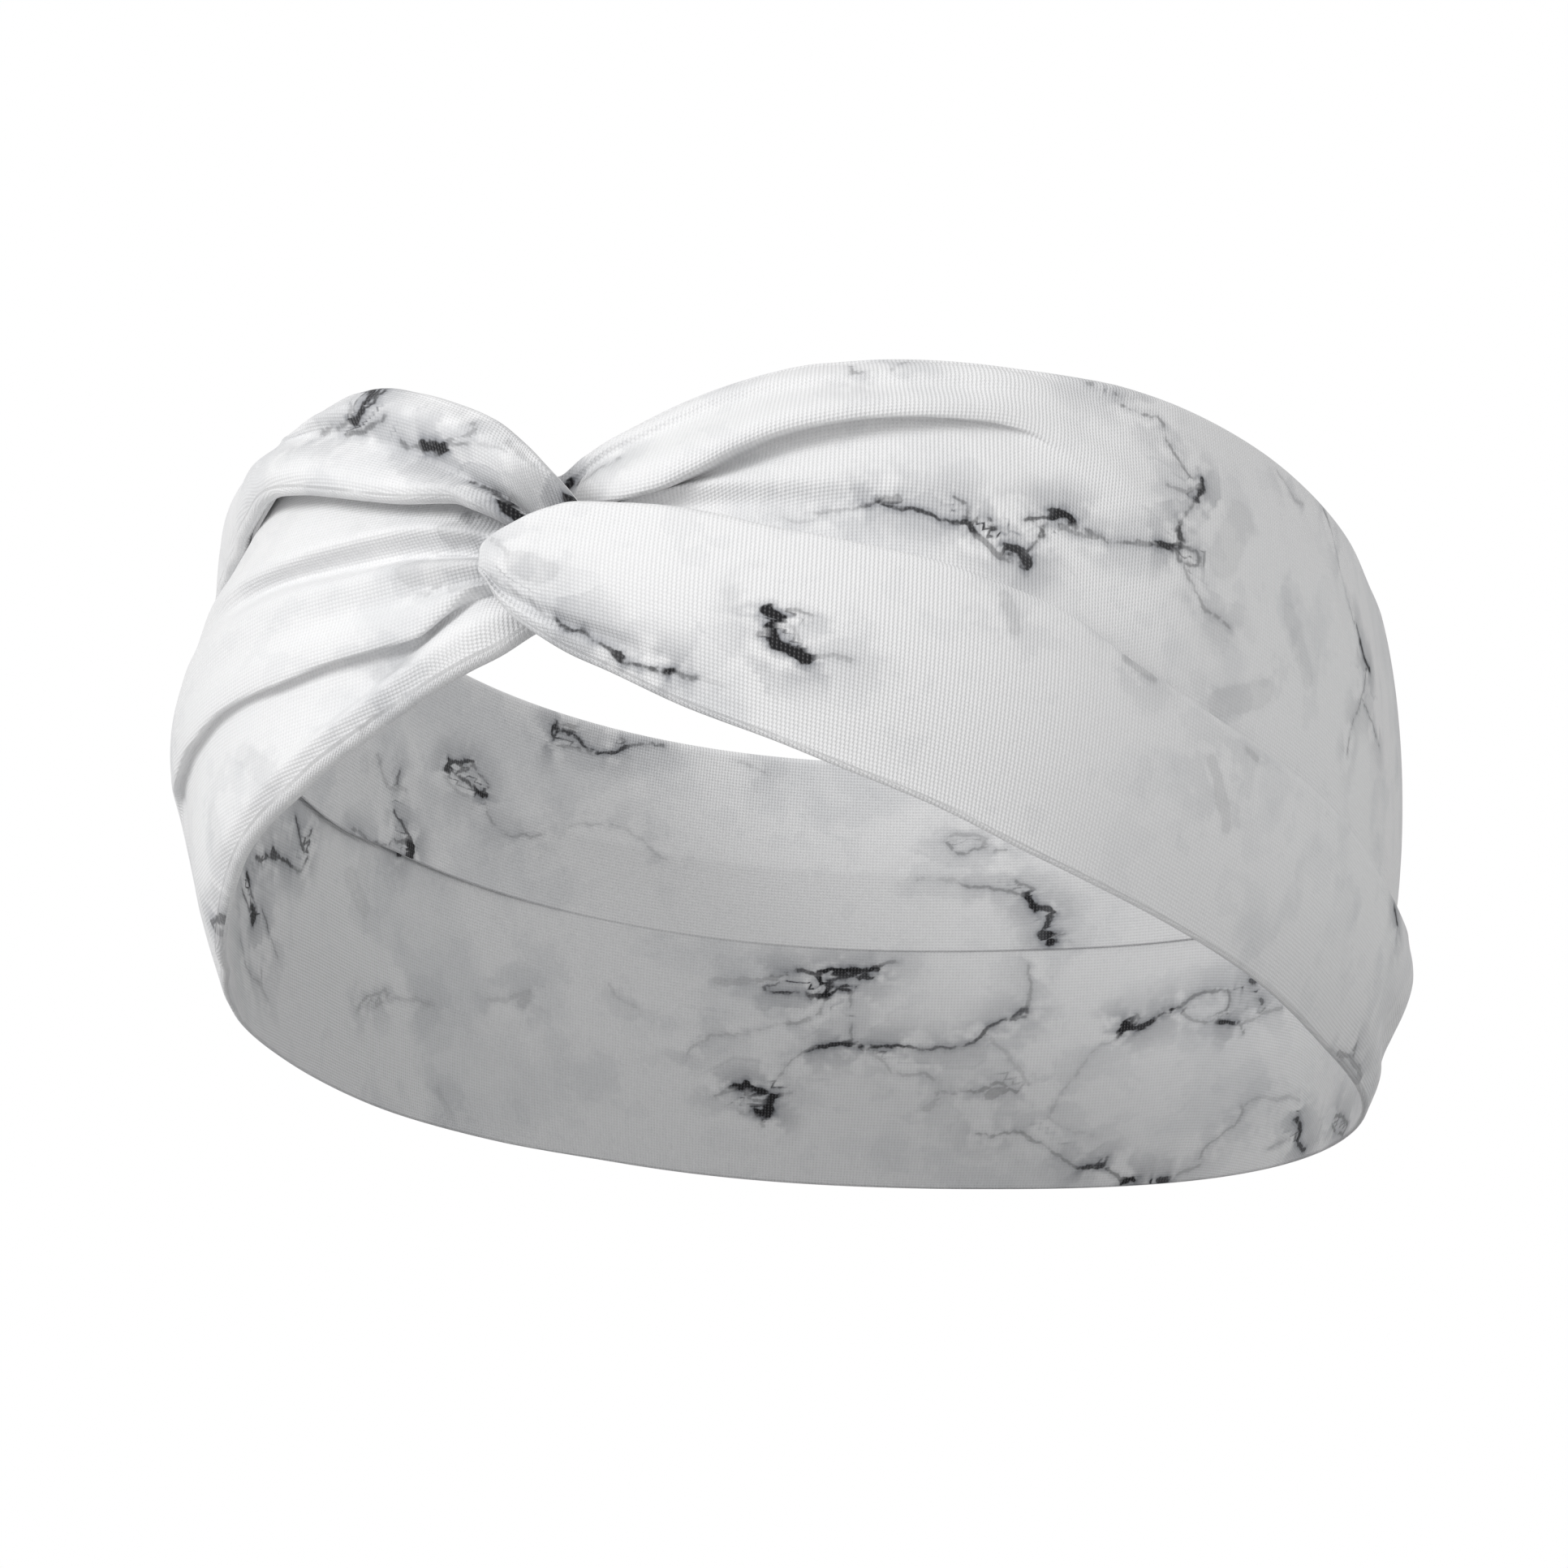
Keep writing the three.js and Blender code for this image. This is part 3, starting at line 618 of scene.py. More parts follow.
LOWER_INSIDE_VEINS = [
    (0.9, 0.35, (249, 0.501), (249.3, 0.501)),
    (0.8, 0.2, (272.2, 0.453), (270.8, 0.443), (269.8, 0.425), (269, 0.413), (268.2, 0.401)),
    (0.8, 0.15, (267.6, 0.459), (268.5, 0.448), (268.9, 0.433), (268.2, 0.427)),
    (0.5, 0.1, (268.2, 0.401), (268.9, 0.379), (269.8, 0.369), (271.5, 0.369)),
    (0.85, 0.2, (278.9, 0.357), (276.4, 0.36), (274.2, 0.367), (272, 0.368)),
    (0.9, 0.3, (276.8, 0.378), (275.9, 0.369)),
    (0.8, 0.25, (281.4, 0.341), (279.9, 0.338)),
    (1, 0.4, (284.1, 0.292), (283.5, 0.282)),
    (0.7, 0.15, (286.3, 0.259), (284.9, 0.247), (283.5, 0.23)),
    (0.7, 0.15, (283.4, 0.282), (282.8, 0.261), (282, 0.249)),
    (1, 0.5, (282.7, 0.24), (281.9, 0.23), (282.6, 0.219)),
    (0.6, 0.1, (279.8, 0.252), (278.3, 0.239), (277.3, 0.22)),
    (0.35, 0.1, (287.1, 0.167), (286.2, 0.145), (285.8, 0.124), (283.2, 0.114), (280.3, 0.116),
     (279.6, 0.148)),
    (0.35, 0.1, (276.5, 0.209), (274.6, 0.187)),
    (0.25, 0.1, (281.3, 0.114), (278.3, 0.096)),
    (0.3, 0.15, (254.1, 0.171), (252.6, 0.201), (251.1, 0.214), (248.8, 0.233), (248.2, 0.215),
     (249.4, 0.201), (252.5, 0.182)),
    (0.22, 0.15, (248.2, 0.215), (245.2, 0.233), (242.7, 0.237), (240.7, 0.244)),
    (0.22, 0.3, (232.8, 0.284), (230.7, 0.29), (229.2, 0.307), (228.1, 0.319), (228.6, 0.289)),
    (0.2, 0.2, (218.9, 0.374), (218.2, 0.352), (217.2, 0.34), (216, 0.332)),
    (0.15, 0.5, (239.8, 0.073), (239.2, 0.052), (238.2, 0.029)),
    (0.3, 0.1, (210.5, 0.244), (209.8, 0.266), (207.7, 0.297), (205.7, 0.306), (203.8, 0.319),
     (202.2, 0.33)),
    (0.25, 0.6, (207.6, 0.415), (206.3, 0.415), (204.7, 0.418)),
    (1, 0.35, (205.4, 0.191), (204.5, 0.201), (203.6, 0.195), (202.5, 0.191), (201.8, 0.18),
     (201.1, 0.183)),
    (0.5, 0.15, (204.4, 0.189), (203.7, 0.171), (203, 0.169)),
    (1, 0.35, (201.9, 0.173), (201.7, 0.159), (201.8, 0.147), (202.5, 0.14), (203.3, 0.148)),
    (0.35, 0.15, (205.3, 0.148), (204, 0.138), (203, 0.129), (202.5, 0.117)),
    (0.4, 0.15, (207.5, 0.169), (206.2, 0.181), (205.2, 0.191)),
    (0.3, 0.1, (201, 0.181), (199.9, 0.194)),
    (0.35, 0.1, (201.1, 0.221), (200.7, 0.236), (200.1, 0.257), (199.2, 0.277), (198, 0.289)),
    (0.95, 0.22, (198.3, 0.284), (197.3, 0.291), (195.8, 0.299), (194.2, 0.299), (192.7, 0.298)),
    (0.9, 0.18, (192.7, 0.298), (191.2, 0.298), (190.1, 0.301), (188.9, 0.299)),
    (0.7, 0.1, (188.9, 0.299), (187.3, 0.298), (185.8, 0.298), (184.2, 0.301), (182.7, 0.309)),
    (0.8, 0.14, (182.7, 0.309), (182.1, 0.321), (181.5, 0.34), (180.6, 0.352), (179.2, 0.362),
     (178.3, 0.373), (177.7, 0.384)),
    (0.6, 0.1, (180.6, 0.352), (178.9, 0.354), (177.7, 0.364)),
    (0.4, 0.08, (177.7, 0.384), (177.5, 0.407), (177.4, 0.429), (177.7, 0.449), (177.7, 0.47)),
    (0.45, 0.08, (194.4, 0.344), (194.7, 0.321), (194, 0.311), (193.4, 0.299)),
    (0.4, 0.1, (197.3, 0.397), (197.4, 0.38), (197.9, 0.362), (198.7, 0.351), (199.4, 0.341),
     (201, 0.34)),
    (0.2, 0.1, (201, 0.34), (203, 0.321), (204.8, 0.307)),
    (0.8, 0.15, (201.7, 0.449), (200.7, 0.447), (199.4, 0.447), (198.1, 0.447)),
    (1, 0.35, (197.9, 0.448), (197.7, 0.435)),
    (1, 0.35, (197.8, 0.449), (196.6, 0.459), (195.5, 0.458), (194.3, 0.46), (193.3, 0.46),
     (192.4, 0.462)),
    (0.9, 0.3, (194, 0.457), (193.8, 0.444), (193.1, 0.444)),
    (0.9, 0.25, (197.3, 0.435), (196.3, 0.438), (195, 0.446)),
    (1, 0.3, (197.3, 0.415), (197, 0.405), (197.7, 0.397)),
    (0.9, 0.2, (197, 0.425), (196.2, 0.417), (195, 0.417)),
    (0.85, 0.15, (202.4, 0.405), (200.8, 0.405), (199.3, 0.404), (197.8, 0.396)),
    (0.4, 0.1, (195, 0.415), (194.7, 0.396), (194.8, 0.383)),
    (0.5, 0.1, (192, 0.468), (191, 0.478), (190.3, 0.48)),
    (0.35, 0.15, (203.9, 0.415), (203.2, 0.426), (202.1, 0.431)),
    (0.3, 0.1, (193.2, 0.298), (191.9, 0.276), (190.6, 0.253), (189.4, 0.237)),
    (0.3, 0.15, (189.4, 0.237), (187.1, 0.242), (185.8, 0.224), (185, 0.204), (183.4, 0.205)),
    (0.25, 0.15, (181.5, 0.332), (180.4, 0.309), (179.3, 0.287), (179, 0.266), (177.6, 0.245),
     (177, 0.224)),
    (0.45, 0.15, (182.7, 0.205), (181.4, 0.204), (180.5, 0.222), (179.7, 0.222), (178.3, 0.204)),
    (0.4, 0.4, (180.9, 0.199), (179.8, 0.201)),
    (0.2, 0.5, (186.6, 0.171), (186, 0.183)),
    (0.45, 0.08, (181.4, 0.119), (180, 0.108), (179, 0.118), (177.4, 0.126), (176.1, 0.107),
     (174.7, 0.094), (173, 0.075), (171.7, 0.054), (170.7, 0.041)),
    (0.9, 0.18, (170.7, 0.041), (169.3, 0.042), (168, 0.042)),
    (0.6, 0.12, (168, 0.062), (167.9, 0.041), (166.5, 0.021), (165.5, 0.01)),
    (1, 0.4, (165.7, 0.004), (164.9, 0.012), (164.1, 0.009)),
    (0.9, 0.3, (161.4, 0.004), (160.5, 0.01)),
    (0.35, 0.1, (160.2, 0.013), (158.9, 0.023), (157.3, 0.033), (157.2, 0.065), (155.9, 0.085),
     (154.5, 0.103), (153.6, 0.105), (152.9, 0.133), (153.5, 0.145)),
    (0.25, 0.15, (153.5, 0.145), (152, 0.153), (150.1, 0.152), (148.3, 0.141), (146.2, 0.139),
     (144.7, 0.126)),
    (0.95, 0.3, (144.4, 0.087), (143.1, 0.058), (143, 0.04)),
    (0.9, 0.25, (143, 0.04), (141.7, 0.028), (140.9, 0.018)),
    (0.3, 0.1, (148.4, 0.041), (146.6, 0.047), (144.6, 0.048)),
    (0.6, 0.12, (135.6, 0.066), (135.8, 0.049), (133.9, 0.025), (130.2, 0.009), (129.3, 0.023),
     (132.1, 0.046), (135.6, 0.066)),
    (0.25, 0.08, (174.4, 0.152), (174, 0.182), (173.3, 0.213), (172.4, 0.236), (171.7, 0.265),
     (171, 0.279), (170.1, 0.299), (168.7, 0.31)),
    (0.2, 0.1, (174.1, 0.147), (172.2, 0.118), (169.5, 0.108)),
    (1, 0.45, (168.4, 0.323), (168, 0.341), (167.1, 0.33)),
    (0.95, 0.28, (166.6, 0.33), (165.5, 0.34), (164.9, 0.351), (164.1, 0.353), (163.4, 0.362),
     (162.5, 0.364)),
    (0.5, 0.15, (166.9, 0.36), (166.4, 0.342), (167.2, 0.341)),
    (0.55, 0.12, (162.5, 0.364), (161.6, 0.37), (160.5, 0.384), (159.5, 0.393), (158.1, 0.392),
     (156.9, 0.383), (156.6, 0.369), (156.7, 0.349), (157.6, 0.34), (157.9, 0.328)),
    (0.95, 0.22, (157.9, 0.328), (156.4, 0.319), (155.7, 0.317)),
    (0.4, 0.12, (161.7, 0.35), (159.7, 0.331), (157.9, 0.325)),
    (0.5, 0.12, (155.7, 0.317), (154.7, 0.307), (154.4, 0.292)),
    (0.8, 0.25, (154.2, 0.398), (153.5, 0.394)),
    (0.7, 0.25, (152.8, 0.361), (152.3, 0.349)),
    (0.35, 0.15, (154.3, 0.313), (151.6, 0.327), (149.4, 0.332)),
    (0.12, 1.5, (258, 0.415), (254, 0.371)),
    (0.4, 0.1, (80, 0.2), (88, 0.14), (97, 0.16)),
    (0.8, 0.3, (90, 0.13), (92, 0.15)),
    (0.4, 0.1, (20, 0.4), (30, 0.33), (38, 0.36), (48, 0.25)),
    (0.8, 0.3, (29, 0.34), (32, 0.35)),
    (0.4, 0.1, (300, 0.3), (312, 0.22), (322, 0.26)),
]
lower_strip = bpy.data.objects.new(
    "lower_strip",
    strip_mesh("lower_strip", lower_angles, lower_loops, LOWER_OUTSIDE_VEINS_AND_SHADE, LOWER_INSIDE_VEINS),
)
bpy.context.scene.collection.objects.link(lower_strip)
lower_strip.data.materials.append(printed_jersey("printed_jersey_lower", 1.0))
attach(lower_strip, "root")
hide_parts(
    "lower_outer_panel", "lower_lining_panel",
    "lower_top_seam_allowance", "lower_bottom_seam_allowance",
)

# ---------------------------------------------------------------------------------------------
# Upper strip: the second tube. It rises out of the knot as the right arm with its long roll,
# runs inside the lower strip round the nape, comes out over it at the left, and makes the dome.
# ---------------------------------------------------------------------------------------------
UPPER_BOTTOM = [
    (-2, 41, -6.4), (2, 40, -5.4), (5, 38, -4.2), (10, 36, -3.2), (15, 34.8, -2.2),
    (25, 32, -1.6), (45, 24, -1.5), (65, 19, -1.4), (90, 17, -1.3), (112, 17, -1.0),
    (130, 26, -1.9), (148, 36, -1.9), (162, 38.5, -1.9), (250, 38.3, -1.8), (262, 37.4, -1.9),
    (275, 38.5, -2.1), (288, 42, -2.4), (294, 44.6, -2.2), (298, 46.4, -1.5), (304, 48.4, -1.7),
    (312, 50.2, -2.4), (315, 50.6, -2.7), (322, 49.7, -2.2), (327, 49.6, -0.3), (331, 49.8, 1.5),
    (334, 49.9, 3.4), (337.5, 49.2, 5.6), (339, 48.6, 6.3), (342, 47.4, 7.1), (344, 46.4, 7.5),
    (347, 45, 7.9), (350.5, 43.8, 8), (353.9, 43.4, 7.8), (355.3, 42.5, 7.4), (357.4, 41.1, 6),
    (359, 39.5, 3.6), (361, 38, 2.2), (362.5, 37.4, 2.0), (362.9, 38.2, 2.6),
]
UPPER_TOP = [
    (-2, 50.8, -5.2), (0, 53, -4.4), (2.9, 55.8, -4.2), (5.8, 58.6, -4.3), (8.8, 61.1, -4.6),
    (13.4, 64.2, -5.1), (18.1, 66.2, -5.2), (23, 66.9, -3.9), (28, 67.3, -2.6), (33, 67.5, -1.4),
    (37.3, 67.5, 0.3), (42.3, 67.5, 2.1), (48, 67.5, 2.6), (57.5, 67.5, 2.4), (72, 67.5, 1.9),
    (85, 67.5, 1.6), (100, 67.5, 0.7), (115, 67.5, 0.9), (140, 67.5, 0.5), (180, 67.5, 0.3),
    (235, 67.5, 0.3), (262, 67.5, -0.5), (300, 67.5, -2.5), (315, 67.5, -3.3), (322, 65.8, -3.8),
    (330, 62.5, -2.0), (335, 60.3, 0.8), (339.5, 58.8, 5), (342.5, 59.2, 7), (344.4, 59.9, 7.7),
    (346.6, 59.9, 8), (350.2, 58.3, 8), (353.2, 56.3, 8), (356.3, 53.6, 8), (358.6, 50.4, 8),
    (360.6, 47, 7.8), (361.8, 44.6, 7.3), (362.5, 42.1, 6), (362.9, 39.6, 3.4),
]
UPPER_SHARES = (0, 0.07, 0.16, 0.25, 0.34, 0.43, 0.52, 0.62, 0.73, 0.83, 0.93, 1)
UPPER_CROWN = [
    (-2, 0), (40, 0.2), (100, -0.5), (120, -0.6), (150, 0.6), (250, 0.9), (290, 1.0),
    (315, 1.6), (330, 1.0), (362.9, 0),
]
# traced guide lines of the right arm upwards: hidden part, valley, low ridge, shadow under the
# roll, the roll's edge and face, the step below the rim, and the rim's own ridge
RIGHT_ROLL = {
    2: [(-2, 43, -6.5), (2, 42.8, -5), (5, 43.0, -4.2), (10, 42.3, -3.4), (15, 41.8, -3),
        (20, 41.6, -2.8), (26, 42.0, -2.5), (34, 42.4, -2.1)],
    3: [(-2, 44, -6.8), (2, 43.8, -5.3), (5, 44.6, -4.3), (10, 45, -3.9), (15, 45.3, -3.5),
        (20, 45.9, -3.1), (26, 46.6, -2.6), (34, 47.4, -2.1)],
    4: [(-2, 45, -6), (2, 45.0, -4.2), (5, 46.2, -2.8), (8.4, 47, -2.3), (11.3, 47.6, -2.1),
        (15.8, 48.1, -2.1), (20.2, 48.7, -2.2), (27, 50.0, -2.1), (34, 52, -1.8)],
    5: [(-2, 45.6, -6.6), (2, 45.7, -4.6), (5, 46.8, -3.6), (7, 47.6, -3.9), (10, 49.4, -4.1),
        (12.5, 51.7, -4.1), (15, 53.9, -3.8), (20, 56.5, -3.2), (26, 58.3, -2.3),
        (32, 59, -1.4), (38, 59.6, -0.5)],
    6: [(-2, 46, -5.4), (2, 45.3, -2.4), (4, 45.3, -0.7), (6.9, 46.3, -0.3), (9.6, 48.5, -0.2),
        (12.3, 51.2, 0), (15, 53.4, 0), (17.9, 55, -0.1), (21.3, 56.4, -0.2), (25.6, 57.6, -0.4),
        (31.8, 58.6, -0.6), (38, 59.9, 0.0)],
    7: [(-2, 47.5, -5), (2, 48.0, -1.6), (5, 48.6, 0.1), (10, 51.4, 0.6), (15, 55.6, 0.7),
        (20, 58.0, 0.5), (26, 59.8, 0.2), (34, 61, 0.3), (42, 61.8, 1.0)],
    8: [(-2, 48.4, -6), (-0.7, 49.2, -4.8), (1.9, 52.0, -3.8), (4.8, 54.2, -3.2),
        (7.7, 56.4, -3.0), (10.7, 58.5, -2.8), (14.3, 60.4, -2.5), (18.2, 61.5, -2.1),
        (27.8, 62.9, -0.9), (36, 63.6, 0.5)],
    9: [(-2, 49.3, -5.4), (-0.7, 50.2, -4.2), (1.9, 53.1, -3.2), (4.8, 55.4, -2.8),
        (10.7, 60.2, -2.5), (18.2, 63.2, -2.1), (27.8, 64.7, -0.7), (36, 65, 0.8)],
    10: [(-2, 50.1, -5.2), (1.9, 54.3, -3.5), (4.8, 56.8, -3.3), (10.7, 61.6, -3.5),
         (18.2, 65.2, -3.7), (27.8, 66.4, -1.4), (36, 66.6, 0.5)],
}
# traced guide lines of the dome upwards: edge roll, lower ridge, the valley above it, dome's face
LEFT_DOME = {
    1: [(318, 51.8, -1.9), (324, 51.2, -0.8), (329, 51.0, 1.3), (334, 51.2, 4.0),
        (339, 49.9, 6.9), (344, 47.6, 8.0), (350.5, 44.7, 8.4), (353.9, 44.1, 8.1),
        (355.3, 43.1, 7.7), (357.4, 41.6, 6.3), (359, 40, 4.2), (361, 38.5, 3), (362.9, 38.3, 2.8)],
    2: [(318, 54.4, -1.0), (324, 54.2, -0.2), (329, 53.8, 1.7), (334, 53.2, 4.2),
        (339, 51.4, 7.0), (344, 48.8, 8.1), (350.5, 45.6, 8.3), (353.9, 44.7, 8.0),
        (355.3, 43.6, 7.6), (357.4, 42, 6.4), (359, 40.5, 4.6), (361, 39, 3.4), (362.9, 38.4, 3)],
    3: [(318, 57.6, -0.6), (324, 57.8, -0.3), (329, 57.4, 1.5), (334, 55.6, 3.9),
        (338, 53.6, 6.3), (341, 52.2, 7.2), (345, 50, 7.7), (350, 46.9, 7.8), (354, 45.3, 7.4),
        (356, 44.2, 7), (358, 42.8, 6), (360, 41, 4.8), (361.5, 39.8, 3.8), (362.9, 38.5, 3.1)],
    4: [(318, 60.0, -0.9), (324, 60.0, -0.9), (331, 59.4, 0.6), (337, 57.2, 3.9),
        (341.5, 55.6, 5.3), (346, 53.2, 5.8), (351, 49.8, 5.9), (354.5, 46.6, 5.6),
        (357.5, 43.8, 5.0), (358.9, 42.2, 4.6), (361, 40.3, 3.9), (362.9, 38.7, 3.2)],
    5: [(318, 61.6, -1.3), (324, 61.2, -1.4), (331, 60.1, 0.3), (337, 57.7, 4.4),
        (341.5, 56.5, 6.1), (346, 54.5, 6.9), (351, 51.2, 7.2), (354.5, 48.1, 7.2),
        (357.5, 45.2, 6.9), (359, 43.4, 6.5), (361, 41.4, 5.4), (362.9, 38.9, 3.3)],
}
DOME_CROWN = [(318, 0), (331, 0.1), (340, 0.7), (347, 1.5), (354, 1.6), (359, 1.3), (362.9, 0)]
UPPER_THICKNESS = [
    (-2, 3.0), (6, 2.8), (16, 2.4), (40, 2.1), (300, 2.1), (330, 2.2), (342, 2.6), (356, 2.8),
    (361, 2.6), (362.4, 1.8), (362.9, 0.4),
]
# share of that thickness left at the lower edge, which is pressed thin inside the nape
UPPER_HEM = [(-2, 1), (60, 1), (120, 0.2), (285, 0.2), (298, 0.8), (362.9, 1)]
DOME_TIP = 362.3 - 1.3 * (1 - np.sin(np.linspace(0, math.pi / 2, 15)))
upper_angles = station_angles(
    DOME_TIP, (-2, 40, 0.4), (40, 60, 0.5), (60, 130, 0.9), (130, 300, 0.75), (300, 318, 0.7),
    (318, 358, 0.4), (358, 361, 0.2))
# the dome's upper guide lines share its face out between its ridge and its rim, crowned
dome_angles = np.sort([row[0] for row in LEFT_DOME[5]] + [349.0, 356.0])
dome_low, dome_high = smooth(LEFT_DOME[5], dome_angles), smooth(UPPER_TOP, dome_angles)
dome_crown = smooth(DOME_CROWN, dome_angles)[:, 0]
for k in range(6, 11):
    share = (k - 5) / 6
    line = dome_low * (1 - share) + dome_high * share
    line[:, 1] += dome_crown * math.sin(math.pi * share)
    LEFT_DOME[k] = np.column_stack([dome_angles, line])
upper_net = guide_net(
    upper_angles, UPPER_BOTTOM, UPPER_TOP, UPPER_SHARES, UPPER_CROWN,
    [(RIGHT_ROLL, 50, 30), (LEFT_DOME, 306, 322)])
